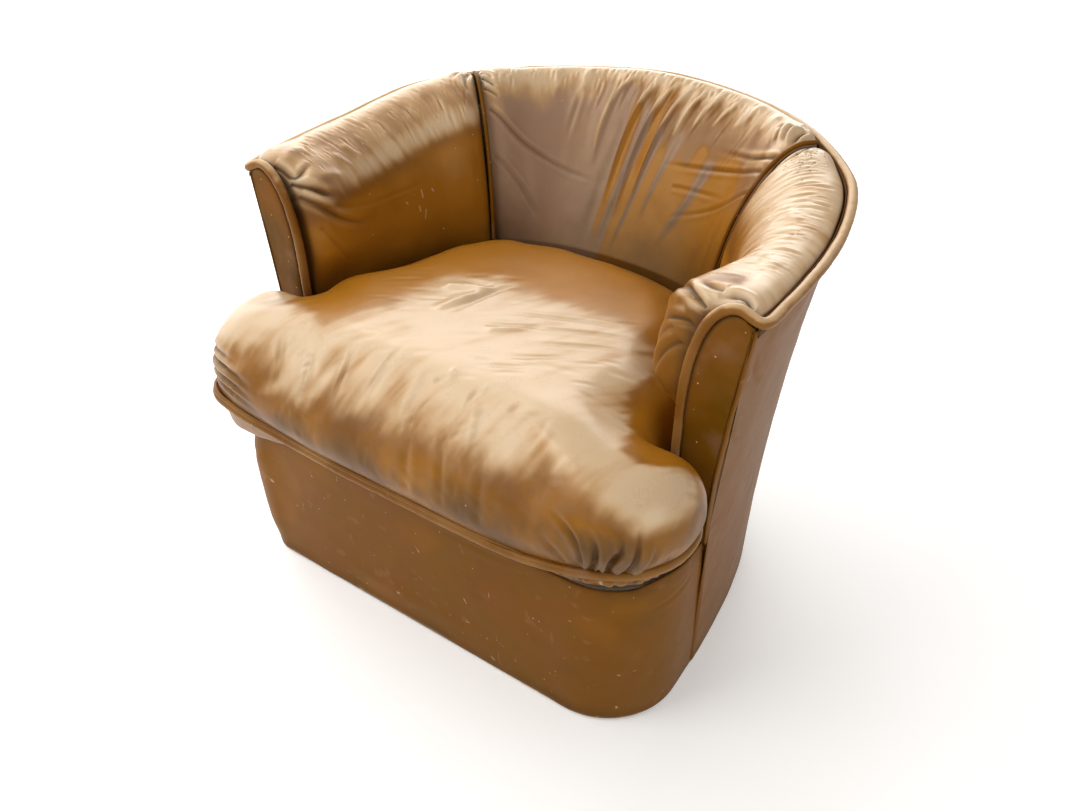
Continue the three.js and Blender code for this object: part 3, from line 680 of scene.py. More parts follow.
class Upholstery:
    """One cover: a closed body whose seen face is a Skin, and whose other faces stay plain."""

    def __init__(self, points, middle, towards, locate):
        """towards is 1 where the seen face looks at middle, and -1 where it looks away from it."""
        normals = unit(np.cross(np.gradient(points, axis=0), np.gradient(points, axis=1)))
        if towards * ((middle - points) * normals).sum() < 0:
            normals = -normals
        self.shape = points.shape[:2]
        self.skin = Skin(points, normals, locate)
        across = np.linalg.norm(np.diff(points, axis=0), axis=2)
        self.from_start = np.vstack([np.zeros((1, self.shape[1])), np.cumsum(across, 0)])
        self.from_end = self.from_start[-1] - self.from_start

    def sculpt(self, lift):
        self.skin.lift += np.asarray(lift).reshape(-1)

    def mark(self, name, values):
        self.skin.marks[name] += np.asarray(values).reshape(-1)

    def close(self, name, hidden, material):
        """Joins the sculpted face to its hidden one, which has no marks."""
        rings = np.concatenate([self.skin.moved().reshape(*self.shape, 3), hidden], axis=1)
        blank = np.zeros(hidden.shape[:2])
        marks = {key: np.concatenate([value.reshape(self.shape), blank], axis=1)
                 for key, value in self.skin.marks.items()}
        return loft(name, rings, material, marks)


class Pad(Upholstery):
    """One inside cover over its foam."""

    def __init__(self, t_from, t_to, across, down):
        self.shares = np.linspace(0, 1, across)
        downs = np.concatenate([np.linspace(0, 1.06, down), [1.12, 1.3, 1.6, 2]])
        self.span = (t_from, t_to)
        self.a, self.u = np.meshgrid(self.shares, downs, indexing="ij")
        self.t = lerp(t_from, t_to, self.a)
        points = inside_skin(self.t, self.u)
        super().__init__(points, np.array([0, -0.05, 0.5]), 1, self.locate)
        lower = np.linalg.norm(np.diff(points, axis=1), axis=2)
        self.from_rim = np.hstack([np.zeros((across, 1)), np.cumsum(lower, 1)])

    def locate(self, path):
        return inside_skin(lerp(*self.span, path[:, 0]), path[:, 1])

    def wrinkles(self, seed, count, a_range, u_range, length, slant, depth, width, dark=0.3, jitter=0.35):
        """Many short creases that run down the skin, spread evenly with some disorder."""
        rng = np.random.default_rng(seed)
        for k in range(count):
            a = lerp(*a_range, (k + rng.uniform(-1, 1) * jitter * 3) / count)
            u = rng.uniform(u_range[0], max(u_range[1] - length, u_range[0]))
            run = length * rng.uniform(0.5, 1.2)
            bend = rng.uniform(-0.3, 0.3) * slant
            middle = a + slant * run * 0.5 + bend * run * 0.3
            path = [(a, u), (middle, u + run * 0.5), (a + slant * run, u + run)]
            scale = rng.uniform(0.4, 1.1)
            self.skin.crease(path, depth * scale, width * rng.uniform(0.7, 1.3), 0.35, 0.5, 0.6, dark * scale)

    def build(self, name, material):
        t = lerp(*self.span, self.shares)
        top = RIM.at(t)[:, 2] - FOAM_DROP
        z = lerp(top[:, None], COVER_HEM + 2 * MM, np.linspace(0, 1, 5)[None])
        return self.close(name, outer_point(t[:, None], z, FOAM_IN)[:, ::-1], material)


def rounded(distance, depth, reach):
    """How far a skin drops towards a seam at distance."""
    share = np.clip(1 - distance / reach, 0, 1)
    return -depth * (1 - np.sqrt(1 - share**2))


def swollen(distance, height, peak, reach):
    """Low swelling beside a seam, highest at peak and gone at reach."""
    return height * smooth(distance, 0, peak) * (1 - smooth(distance, peak, reach))


# ---- arms: where each crease and mark lies, as (share back from the front, u) ----

# Path, depth and half width in millimetres, and how dark its painted shade is.
LEFT_ARM_CREASES = (
    (((0.004, 0.30), (0.014, 0.40), (0.03, 0.50), (0.09, 0.47), (0.15, 0.44)), 4.5, 3.2, 1.0),
    (((0.006, 0.52), (0.05, 0.57), (0.12, 0.63), (0.20, 0.66)), 6.0, 3.8, 1.0),
    (((0.01, 0.60), (0.06, 0.66), (0.15, 0.745), (0.26, 0.80), (0.34, 0.82)), 3.2, 4.2, 0.7),
    (((0.05, 0.76), (0.13, 0.87), (0.20, 0.95)), 1.2, 4.0, 0.3),
    (((0.09, 0.68), (0.30, 0.74), (0.52, 0.745), (0.68, 0.74)), 0.7, 3.0, 0.22),
    (((0.98, 0.10), (0.955, 0.22), (0.97, 0.36)), 4.0, 4.0, 0.7),
    (((0.99, 0.05), (0.93, 0.12), (0.90, 0.20)), 3.0, 3.0, 0.5),
)
LEFT_ARM_FOLDS = (
    (((0.02, 0.36), (0.10, 0.30), (0.20, 0.34)), 4.0, 9.0),
    (((0.04, 0.55), (0.16, 0.55), (0.28, 0.62)), 4.0, 8.0),
    (((0.30, 0.38), (0.34, 0.48), (0.36, 0.58)), 2.2, 6.0),
    (((0.24, 0.42), (0.28, 0.52), (0.30, 0.60)), 2.0, 5.0),
)
LEFT_ARM_SCRATCHES = (
    ((0.60, 0.76), (0.605, 0.80)), ((0.615, 0.84), (0.60, 0.885)), ((0.66, 0.77), (0.675, 0.79)),
    ((0.575, 0.82), (0.58, 0.85)), ((0.50, 0.79), (0.515, 0.805)), ((0.70, 0.93), (0.715, 0.94)),
)
RIGHT_ARM_CREASES = (
    (((0.006, 0.10), (0.03, 0.22), (0.035, 0.34), (0.02, 0.47)), 4.0, 3.4, 1.0),
    (((0.01, 0.50), (0.06, 0.52), (0.13, 0.57), (0.17, 0.63)), 5.0, 3.4, 1.0),
    (((0.01, 0.60), (0.05, 0.65), (0.11, 0.72)), 4.5, 3.2, 0.9),
    (((0.012, 0.70), (0.05, 0.80), (0.08, 0.90)), 2.8, 3.0, 0.7),
    (((0.03, 0.66), (0.10, 0.80), (0.13, 0.93)), 1.8, 3.0, 0.5),
    (((0.05, 0.38), (0.075, 0.46), (0.12, 0.50)), 3.0, 3.0, 0.8),
    (((0.985, 0.12), (0.95, 0.26), (0.965, 0.45)), 4.0, 4.0, 0.7),
    (((0.30, 0.30), (0.34, 0.42), (0.36, 0.50)), 1.6, 3.4, 0.4),
    (((0.44, 0.22), (0.47, 0.36), (0.49, 0.46)), 1.6, 3.2, 0.4),
)
RIGHT_ARM_FOLDS = (
    (((0.03, 0.30), (0.10, 0.36), (0.19, 0.34)), 4.0, 9.0),
    (((0.03, 0.56), (0.10, 0.62), (0.16, 0.70)), 3.5, 6.0),
    (((0.24, 0.16), (0.28, 0.30), (0.30, 0.42)), 2.0, 6.0),
    (((0.52, 0.20), (0.56, 0.34), (0.57, 0.46)), 1.8, 6.0),
)
PAD_BULGE = {"right": 42, "left": 20}  # millimetres
ROLL_AT_FRONT = {"right": 0.86, "left": 0.68}
ARM_EDGE = 0.007  # where an arm's pad starts behind its facing, along the tub
WEAR_AND_SHEEN_SLOPE = (0.42, 1.05)  # how far a cover looks up where it starts to be bare and painted with sheen, and where it is
BACK_CREASES = (
    (((0.992, 0.42), (0.88, 0.60), (0.75, 0.70), (0.62, 0.74)), 2.4, 3.6, 0.6),
    (((0.99, 0.66), (0.90, 0.77), (0.84, 0.88), (0.80, 0.96)), 1.4, 3.6, 0.35),
    (((0.02, 0.45), (0.16, 0.52), (0.31, 0.58), (0.46, 0.61)), 2.2, 3.2, 0.7),
    (((0.01, 0.34), (0.05, 0.38), (0.15, 0.44), (0.28, 0.48)), 3.6, 3.6, 0.9),
    (((0.02, 0.56), (0.10, 0.63), (0.22, 0.73), (0.36, 0.81)), 1.6, 3.0, 0.5),
    (((0.995, 0.10), (0.975, 0.17), (0.965, 0.22)), 4.0, 2.6, 1.0),
    (((0.995, 0.18), (0.97, 0.26), (0.955, 0.30)), 3.6, 2.4, 1.0),
    (((0.995, 0.28), (0.965, 0.34), (0.95, 0.38)), 2.6, 2.4, 0.7),
    (((0.075, 0.10), (0.060, 0.20), (0.035, 0.30)), 6.0, 3.8, 1.0),
    (((0.035, 0.08), (0.030, 0.16), (0.012, 0.26)), 5.5, 3.6, 1.0),
    (((0.115, 0.14), (0.095, 0.24), (0.07, 0.33)), 4.0, 3.8, 0.6),
    (((0.36, 0.68), (0.24, 0.66), (0.14, 0.64)), 1.0, 3.0, 0.3),
)
# Gathers that hang from the top of the back: path, height and half width in millimetres, lean.
BACK_GATHERS = (
    (((0.80, 0.05), (0.79, 0.20), (0.80, 0.36)), 2.6, 9.0, 0.0),
    (((0.70, 0.04), (0.72, 0.22), (0.735, 0.42)), 3.0, 9.0, 0.2),
    (((0.56, 0.10), (0.62, 0.28), (0.655, 0.50), (0.665, 0.72)), 6.0, 8.0, -0.35),
    (((0.50, 0.12), (0.545, 0.34), (0.58, 0.60), (0.60, 0.86)), 6.5, 7.5, -0.35),
    (((0.45, 0.12), (0.495, 0.36), (0.53, 0.62), (0.545, 0.90)), 6.0, 7.0, -0.3),
    (((0.40, 0.10), (0.44, 0.32), (0.48, 0.60), (0.50, 0.84)), 5.0, 6.5, -0.3),
    (((0.36, 0.14), (0.40, 0.32), (0.425, 0.52)), 4.5, 6.0, -0.3),
    (((0.31, 0.10), (0.345, 0.28), (0.375, 0.46)), 4.5, 6.5, -0.2),
    (((0.26, 0.10), (0.29, 0.26), (0.32, 0.42)), 4.0, 7.0, -0.2),
    (((0.20, 0.08), (0.23, 0.22), (0.26, 0.36)), 3.5, 8.0, 0.0),
    (((0.14, 0.08), (0.16, 0.20), (0.18, 0.30)), 3.5, 8.0, 0.0),
    (((0.055, 0.10), (0.045, 0.20), (0.02, 0.30)), 5.0, 6.0, 0.0),
    (((0.10, 0.10), (0.085, 0.20), (0.06, 0.30)), 4.5, 6.0, 0.0),
)
# Strips of colour down the back: path and half width in millimetres.
BACK_ORANGE = (
    (((0.545, 0.30), (0.555, 0.50), (0.575, 0.74), (0.615, 1.04)), 7.0),
    (((0.475, 0.30), (0.485, 0.54), (0.51, 0.76), (0.545, 1.04)), 8.0),
    (((0.43, 0.50), (0.445, 0.66), (0.465, 0.84), (0.50, 1.0)), 6.0),
    (((0.36, 0.55), (0.38, 0.78), (0.42, 1.0)), 20.0),
    (((0.30, 0.45), (0.31, 0.60), (0.33, 0.80)), 8.0),
    (((0.20, 0.42), (0.20, 0.60), (0.24, 0.80), (0.28, 1.0)), 22.0),
)
# Mauve strips down the back, where the leather is faded and a sky reflection and some shade are painted: path
# and half width in millimetres.
BACK_MAUVE = (
    (((0.585, 0.22), (0.595, 0.48), (0.62, 0.70), (0.66, 1.0)), 12.0),
    (((0.505, 0.30), (0.515, 0.52), (0.545, 0.74), (0.585, 1.0)), 9.0),
    (((0.455, 0.40), (0.465, 0.58), (0.49, 0.80), (0.52, 1.0)), 5.0),
    (((0.385, 0.42), (0.41, 0.62), (0.44, 0.86)), 6.0),
    (((0.26, 0.50), (0.28, 0.70), (0.33, 0.92)), 9.0),
)


def shared_marks(pad, seed, amount=0):
    """Marks that every inside cover has: bare and painted with sheen on top by amount, darker down towards
    the cushion and in the corners at both ends, and painted shade along its seams and beside the rim.
    """
    skin = pad.skin
    up = skin.normals[:, 2].reshape(pad.a.shape)
    mottle = noise(skin.points, 0.05, seed).reshape(pad.a.shape)
    fine = noise(skin.points, 0.016, seed + 7).reshape(pad.a.shape)
    if amount:
        pad.mark("wear_and_sheen", amount * smooth(up + 0.22 * mottle + 0.1 * fine, *WEAR_AND_SHEEN_SLOPE))
    pad.mark("dirt_and_shade", 0.25 * smooth(pad.u + 0.06 * mottle, 0.80, 1.02))
    pad.mark("dirt_and_shade", 0.5 * np.exp(-pad.from_start / 0.010) + 0.45 * np.exp(-pad.from_end / 0.010))
    for distance in (pad.from_start, pad.from_end):
        pad.mark("crease", 0.6 * np.exp(-(distance / 0.0035) ** 2))
    pad.mark("crease", (0.45 - 0.3 * past_right_arm(pad.t)) * np.exp(-(pad.from_rim / 0.003) ** 2))
    return mottle


def past_right_arm(t):
    """0 along the right arm, 1 along the back and the left arm, where the pads stand over the rim."""
    return smooth(t, 0.27, 0.33)


def seam_shapes(pad, start_depth, end_depth):
    past = past_right_arm(pad.t)
    lift = rounded(pad.from_start, start_depth, 0.020) + rounded(pad.from_end, end_depth, 0.016)
    lift += rounded(pad.from_rim, 0.004, 0.012) * (1 - 0.8 * past)
    lift += 0.0045 * past * smooth(pad.u, 0, 0.03) * (1 - smooth(pad.u, 0.06, 0.35))
    swelling = swollen(pad.from_start, 0.004, 0.028, 0.09) + swollen(pad.from_end, 0.004, 0.03, 0.08)
    above = 1 - smooth(pad.u, 0.8, 1.0)
    pad.sculpt(lift + above * swelling)
    pad.sculpt(0.0012 * noise(pad.skin.points, 0.055, 3) * above.reshape(-1))


def strokes(skin, creases=(), folds=(), start=0.04):
    for path, height, width in folds:
        skin.fold(path, height * MM, width * MM)
    for path, depth, width, dark in creases:
        skin.crease(path, depth * MM, width * MM, start=start, end=0.55, dark=dark)


def pad_bulge(t, u, side):
    """How far an arm pad sags inwards, most of all just behind its front edge."""
    from_front = np.maximum(np.minimum(t, 1 - t) - ARM_EDGE, 0)
    before = np.maximum(1 - from_front / 0.03, 0)
    along = np.sqrt(1 - before**2) * (1 - smooth(from_front, 0.03, 0.13))
    down = smooth(u, 0.3, 0.62) * (1 - smooth(u, 0.86, 0.99))
    return PAD_BULGE[side] * MM * along * down


def streaks(pad, seed, slant, width=0.010, stretch=0.15):
    """Noise drawn out along the wrinkles of a pad, between 0 and 1."""
    a, u = pad.a * 0.45, pad.u * 0.27
    place = np.stack([a - slant * u, stretch * u, 0 * u], axis=-1)
    return np.clip(0.5 + 0.9 * noise(place, width, seed), 0, 1)


def paint_right_arm_wear_sheen_shade(pad, streak, mottle, above):
    strokes(pad.skin, RIGHT_ARM_CREASES, RIGHT_ARM_FOLDS)
    pad.wrinkles(31, 46, (0.22, 0.95), (0.05, 0.60), 0.26, 0.10, 1.0 * MM, 2.1 * MM, 0.20)
    pad.wrinkles(32, 90, (0.14, 0.98), (0.06, 0.58), 0.10, 0.12, 0.55 * MM, 1.6 * MM, 0.14)
    # Wear with painted sheen over the top of the arm, above its roll.
    pad.mark("wear_and_sheen", above * (0.52 + 0.34 * streak + 0.2 * mottle))
    spot = np.exp(-(((pad.a - 0.12) / 0.06) ** 2 + ((pad.u - 0.38) / 0.10) ** 2) ** 2)
    lobe = smooth(pad.u, 0.40, 0.62) * (1 - smooth(pad.a, 0.12, 0.30))
    pad.mark("wear_and_sheen", -0.5 * spot - 0.62 * lobe)
    pad.mark("wear_and_sheen", -0.25 * smooth(pad.u, 0.35, 0.75))
    rng = np.random.default_rng(35)
    for _ in range(120):
        a, u = rng.normal(0.90, 0.055), rng.normal(0.20, 0.07)
        if a < 0.985 and u > 0.03:
            path = [(a, u), (a + rng.uniform(-0.006, 0.006), u + rng.uniform(0.004, 0.02))]
            width = rng.uniform(0.9, 1.7) * MM
            pad.skin.crease(path, 0.5 * MM, width, 0.2, 0.2, 0.3, rng.uniform(0.5, 1.0))


def paint_left_arm_wear_sheen_shade(pad, streak, mottle, above):
    strokes(pad.skin, LEFT_ARM_CREASES, LEFT_ARM_FOLDS)
    pad.wrinkles(41, 34, (0.14, 0.96), (0.06, 0.56), 0.18, 0.10, 1.2 * MM, 2.4 * MM, 0.24)
    pad.wrinkles(42, 90, (0.10, 0.97), (0.05, 0.56), 0.07, 0.12, 0.8 * MM, 1.6 * MM, 0.20)
    # Wear with painted sheen over the top of the arm, above its roll.
    pad.mark("wear_and_sheen", above * (0.31 + 0.20 * streak + 0.16 * mottle))
    pad.mark("wear_and_sheen", 0.25 * (1 - smooth(pad.u, 0.08, 0.30)) * above)
    # Fading with painted sky reflection over the top.
    pad.mark("faded_and_reflection", 0.9 * above * smooth(pad.u, 0.04, 0.2) * (0.8 + 0.4 * mottle))
    # Painted highlight along the roll.
    on_roll = np.exp(-((pad.u - roll_line(pad, "left") + 0.04) / 0.07) ** 2) * smooth(pad.a, 0.12, 0.3)
    pad.mark("wear_and_sheen", 0.55 * on_roll * (0.7 + 0.6 * streak))
    for path in LEFT_ARM_SCRATCHES:
        pad.skin.band("scratch", path, 1.0, 1.4 * MM, 0.1, 0.1)


def roll_line(pad, side):
    """Where the top of an arm rolls over into its inner side, as u."""
    return ROLL_AT_FRONT[side] - 0.18 * pad.a


def build_arm(side):
    right = side == "right"
    edge, seam = ARM_EDGE, SEAM - 0.003
    span = (edge, seam) if right else (1 - edge, 1 - seam)
    pad = Pad(*span, 270, 170)
    mottle = shared_marks(pad, 11 if right else 23)
    seam_shapes(pad, 0.008, 0.006)
    pad.sculpt(pad_bulge(pad.t, pad.u, side))
    streak = streaks(pad, 37 if right else 47, 0.35 if right else 0.4)
    roll = roll_line(pad, side)
    above = 1 - smooth(pad.u, roll - 0.20, roll + (0.14 if right else 0.10))
    wear = paint_right_arm_wear_sheen_shade if right else paint_left_arm_wear_sheen_shade
    wear(pad, streak, mottle, above)
    below = smooth(pad.u, roll, roll + 0.12)
    pad.mark("fiery", below * (1 - 0.6 * smooth(pad.u, 0.9, 1.05)) * (0.8 + 0.5 * mottle))
    obj = pad.build(f"inside_{side}_arm_pad", leather_of("inside_leather"))
    finish_piece(obj, "inside_leather", f"inside_{side}_arm_cover", f"inside_{side}_arm_foam")


def build_back():
    pad = Pad(SEAM + 0.003, 1 - SEAM - 0.003, 400, 170)
    skin = pad.skin
    mottle = shared_marks(pad, 51, 0.55)
    streak = streaks(pad, 57, -0.1, 0.012, 0.12)
    seam_shapes(pad, 0.006, 0.006)
    for path, height, width, lean in BACK_GATHERS:
        skin.fold(path, 0.95 * height * MM, 1.05 * width * MM, lean, 0.3, 0.5)
    strokes(skin, BACK_CREASES)
    left = smooth(pad.a + 0.04 * mottle, 0.50, 0.62)
    # Fading with painted sky reflection across the top of the left half.
    pad.mark("faded_and_reflection", left * smooth(pad.u, 0.02, 0.24) * (0.85 + 0.25 * mottle + 0.2 * streak))
    pad.mark("fiery", 0.5 * left * smooth(mottle, 0.05, 0.45) * smooth(pad.u, 0.55, 0.8))
    # Wear with painted sheen along the top.
    pad.mark("wear_and_sheen", 0.62 * streak * (1 - smooth(pad.u, 0.10, 0.52)))
    pad.mark("wear_and_sheen", 0.12 * streak * (1 - smooth(pad.u, 0.3, 0.7)))
    # Fading with painted sky reflection in a band across the right half.
    pad.mark("faded_and_reflection", 0.35 * (1 - left) * smooth(pad.u, 0.2, 0.4) * (1 - smooth(pad.u, 0.55, 0.8)))
    pad.mark("fiery", 0.75 * (1 - left) * smooth(pad.u, 0.40, 0.75) * (0.7 + 0.6 * streak))
    # Darker towards the bottom.
    pad.mark("dirt_and_shade", 0.60 * smooth(pad.u, 0.50, 1.0) * (1 - smooth(np.abs(pad.a - 0.25), 0.1, 0.3) * 0.4))
    for path, width in BACK_MAUVE:
        skin.band("faded_and_reflection", path, 1.3, width * MM)
        skin.band("dirt_and_shade", path, 0.35, 0.7 * width * MM)
        skin.band("fiery", path, -1.2, width * MM)
        skin.band("wear_and_sheen", path, -0.6, width * MM)
    for path, width in BACK_ORANGE:
        skin.band("fiery", path, 1.4, width * MM)
        skin.band("faded_and_reflection", path, -1.5, width * MM)
        skin.band("wear_and_sheen", path, -0.5, width * MM)
    # Painted highlight along the ridge of each gather.
    for path, _, width, _ in BACK_GATHERS:
        skin.band("wear_and_sheen", path, 0.5, 0.45 * width * MM, 0.05, 0.3, 2)
    pad.wrinkles(61, 70, (0.03, 0.97), (0.04, 0.34), 0.14, 0.02, 0.9 * MM, 2.2 * MM, 0.18)
    pad.wrinkles(62, 26, (0.18, 0.72), (0.10, 0.60), 0.34, 0.10, 1.1 * MM, 2.8 * MM, 0.22)
    obj = pad.build("inside_back_pad", leather_of("inside_leather"))
    finish_piece(obj, "inside_leather", "inside_back_cover", "inside_back_foam")


# ---- seat cushion ----

# Half outlines of the cushion's front in millimetres, from its middle round the ear that stands in
# front of the arm to the notch beside the arm's edge: at its fullest, at its welt, and on top.
CUSHION_FULL = (
    (0, -360), (110, -360), (215, -359), (308, -352), (360, -330), (386, -288),
    (390, -240), (380, -205), (358, -188), (326, -188), (305, -187), (297, -178),
)
CUSHION_LOW = (
    (0, -337), (104, -337), (204, -335), (290, -326), (334, -302), (358, -262),
    (362, -224), (356, -202), (344, -189), (326, -188), (305, -187), (297, -178),
)
CUSHION_TOP = (
    (0, -300), (96, -300), (184, -297), (264, -290), (304, -274), (328, -250),
    (332, -234), (324, -222), (308, -216), (290, -215), (274, -212), (264, -201),
)
CUSHION_GAP = 1.5
CUSHION_TOP_INSET = 30
WELT_LEVEL = 301
CORNER_RISE = (27, 20)  # how much the welt climbs towards the right and the left ear
EAR_SLUMP = 0.85  # the left ear's underside stays almost as wide as its fullest outline
CUSHION_BOTTOM = 262
CUSHION_CROWN = 464
PLUMP = 17  # extra height beside the front of the left arm
FILLING_ROOM = 7  # how much smaller the cover starts, before it is filled
CUSHION_MESH = 0.0056  # metres
HIDDEN_SHARE = 0.60  # of the faces that stay where the cushion is out of sight
# Height, share of the low outline and share of the top outline of each level.
CUSHION_LEVELS = (
    (262, 2.1, 0), (282, 1.5, 0), (301, 0.97, 0), (308, 0.85, 0), (322, 0.4, 0), (346, 0.05, 0),
    (384, 0, 0), (412, 0, 0.05), (433, 0, 0.24), (447, 0, 0.58), (454, 0, 1),
)
POLE = (0, -235)


def corner_rise(plan):
    """How much the welt's level is lifted at points of the plan, in millimetres."""
    rise = np.where(plan[:, 0] > 0, *CORNER_RISE)
    return rise * smooth(np.abs(plan[:, 0]), 150, 345) * smooth(-plan[:, 1], 150, 188)


def plumpness(plan, z):
    """Extra height where the top presses against the front of the left arm, in millimetres."""
    beside = smooth(-plan[:, 0], 130, 300) * smooth(-plan[:, 1], -40, 170)
    return PLUMP * beside * (1 - 0.6 * smooth(-plan[:, 1], 180, 260)) * smooth(z, 400, 445)


def cushion_half(low, top, inset, z, hand):
    """Half outline of one level; hand is 1 for the right half and -1 for the left one."""
    full, lowest, highest = (np.array(rows, float) for rows in (CUSHION_FULL, CUSHION_LOW, CUSHION_TOP))
    under = low * (1 - EAR_SLUMP * smooth(full[:, :1], 250, 350)) if hand < 0 else low
    front = full + under * (lowest - full) + top * (highest - full)
    t = np.linspace(0.03, 0.5, 10)
    reach = (CUSHION_GAP + CUSHION_TOP_INSET * top) * MM
    side = (SEAT.at(t) - SEAT.outwards(t) * reach + CENTRE)[:, :2] / MM
    half = np.vstack([front, side])
    along = unit(np.gradient(half, axis=0))
    half = half + np.stack([-along[:, 1], along[:, 0]], axis=1) * inset
    half[0, 0] = half[-1, 0] = 0
    half = half * (hand, 1)
    fade = smooth(z, CUSHION_BOTTOM, WELT_LEVEL) * (1 - smooth(z, WELT_LEVEL, 400))
    return np.column_stack([half, z + corner_rise(half) * fade + plumpness(half, z)])


def cushion_ring(z, low, top, inset, count=150):
    share = np.linspace(0, 1, count)
    right, left = (Line(cushion_half(low, top, inset, z, hand)).at(share) for hand in (1, -1))
    return np.vstack([right, left[-2:0:-1]]) * MM - CENTRE


def cushion_start(shrink):
    """The cushion before it is filled: its levels, a little smaller all round."""
    rows = np.array(CUSHION_LEVELS, float)
    levels = Line(rows).at(np.linspace(0, 1, 46))
    rings = []
    for z, low, top in levels:
        drop = shrink * np.clip((z - 350) / 60, 0, 1)
        rings.append(cushion_ring(z - drop, low, max(top, 0), shrink * smooth(z, 305, 345)))
    rings = np.array(rings)
    pole = np.array([*POLE, 0]) * MM - CENTRE
    caps = []
    for ring, height in ((rings[0], CUSHION_BOTTOM + 1), (rings[-1], CUSHION_CROWN - shrink)):
        middle = pole + (0, 0, height * MM)
        shares = np.linspace(0, 0.97, 14)[1:]
        bulge = np.sqrt(1 - (1 - shares) ** 2)
        cap = lerp(ring[None], middle, shares[:, None, None])
        cap[..., 2] = lerp(ring[None, :, 2], middle[2], bulge[:, None])
        caps.append(cap)
    return np.concatenate([caps[0][::-1], rings, caps[1]])


def fill_cushion(obj, cap):
    """Blows the cover up against its own stiffness, held along its bottom, and caps how far it goes."""
    rest = coordinates(obj.data)
    held = obj.vertex_groups.new(name="held")
    plan = (rest + CENTRE) / MM
    low = np.flatnonzero(plan[:, 2] < WELT_LEVEL + 9 + corner_rise(plan))
    held.add(low.tolist(), 1.0, "REPLACE")
    cloth = obj.modifiers.new("Filling", "CLOTH")
    settings = cloth.settings
    settings.quality = 4
    settings.mass = 0.35
    settings.tension_stiffness = 12
    settings.compression_stiffness = 8
    settings.shear_stiffness = 6
    settings.bending_stiffness = 1.2
    settings.use_pressure = True
    settings.uniform_pressure_force = 4
    settings.effector_weights.gravity = 0
    settings.vertex_group_mass = "held"
    cloth.point_cache.frame_start = 1
    cloth.point_cache.frame_end = 20
    for number in range(1, 21):
        bpy.context.scene.frame_set(number)
    graph = bpy.context.evaluated_depsgraph_get()
    filled = coordinates(obj.evaluated_get(graph).data)
    obj.modifiers.clear()
    obj.vertex_groups.clear()
    bpy.context.scene.frame_set(1)
    move = filled - rest
    length = np.linalg.norm(move, axis=1, keepdims=True)
    beside = smooth(rest[:, 1], -0.21, -0.17) * (1 - smooth(rest[:, 2], 0.43, 0.455))
    limit = lerp(cap, 0.006, beside)[:, None]
    place = rest + move * np.minimum(1, limit / np.maximum(length, 1e-9))
    obj.data.vertices.foreach_set("co", place.astype(np.float32).ravel())
    obj.data.update()


# Creases of the seat: points (x, y) in millimetres on top, depth, half width and darkness of the painted
# shade.
SEAT_TOP_CREASES = (
    (((-52, -165), (-44, -115), (-30, -62), (-10, -40)), 3.6, 6.0, 0.35),
    (((-95, -72), (-62, -70), (-36, -58)), 2.6, 5.0, 0.3),
    (((-8, -164), (30, -146), (66, -122), (100, -98)), 1.6, 3.6, 0.2),
    (((0, -124), (60, -96), (126, -70), (196, -46)), 1.3, 3.4, 0.22),
    (((40, -142), (100, -112), (160, -84), (214, -64)), 1.4, 3.4, 0.24),
    (((70, -168), (120, -140), (170, -114), (224, -96)), 1.1, 3.4, 0.18),
    (((-104, -356), (-106, -300), (-114, -274)), 1.6, 3.0, 0.4),
    (((-60, -340), (-50, -290), (-42, -250)), 1.4, 4.0, 0.2),
    (((96, -372), (80, -340), (66, -318)), 2.0, 5.0, 0.25),
    (((40, -378), (28, -340), (24, -300)), 1.8, 6.0, 0.2),
    (((150, -376), (140, -340), (128, -312)), 1.6, 6.0, 0.2),
    (((-150, -362), (-160, -320), (-175, -290)), 1.5, 5.0, 0.2),
    (((-200, -350), (-215, -315), (-228, -290)), 1.4, 5.0, 0.2),
    (((66, -206), (112, -182), (156, -146)), 1.2, 4.0, 0.12),
    (((50, -240), (96, -220), (134, -190)), 1.1, 4.0, 0.12),
)
SEAT_TOP_FOLDS = (
    (((-112, -104), (-72, -86), (-34, -72)), 4.0, 10.0),
    (((-72, -168), (-62, -122), (-46, -84)), 3.6, 9.0),
    (((16, -170), (40, -150), (70, -130)), 2.2, 8.0),
    (((10, -352), (2, -310), (6, -262)), 2.0, 9.0),
    (((118, -350), (104, -310), (92, -280)), 1.8, 8.0),
)
# Bearing in degrees round the seat's middle from the front, height in millimetres.
SEAT_MIDDLE = (0.0, -0.15)
SEAT_FRONT_CREASES = (
    (((57.4, 330), (57.3, 352), (56.9, 380), (55.8, 408)), 5.0, 3.2, 0.75),
    (((59.8, 332), (59.6, 352), (60.4, 384), (60.4, 418)), 4.6, 3.0, 0.75),
    (((62.0, 334), (62.1, 356), (62.6, 392), (63.4, 424)), 4.4, 3.0, 0.75),
    (((55.8, 344), (54.6, 372), (52.8, 394), (50.6, 408)), 3.4, 3.4, 0.6),
    (((58.6, 330), (58.4, 346), (58.6, 366)), 3.2, 2.6, 0.7),
    (((64.4, 336), (64.8, 366), (65.6, 400)), 2.6, 3.2, 0.6),
    (((53.0, 330), (51.0, 352), (48.0, 372)), 2.2, 4.6, 0.4),
    (((-70.0, 374), (-63.0, 386), (-56.0, 386), (-50.0, 379)), 5.0, 4.6, 1.0),
    (((-69.0, 361), (-62.0, 371), (-56.0, 371), (-49.0, 363)), 5.4, 4.2, 1.0),
    (((-68.0, 350), (-61.0, 357), (-55.0, 355), (-47.0, 346)), 4.2, 4.2, 0.9),
    (((-68.0, 390), (-61.0, 401), (-55.0, 403)), 3.0, 4.2, 0.7),
)
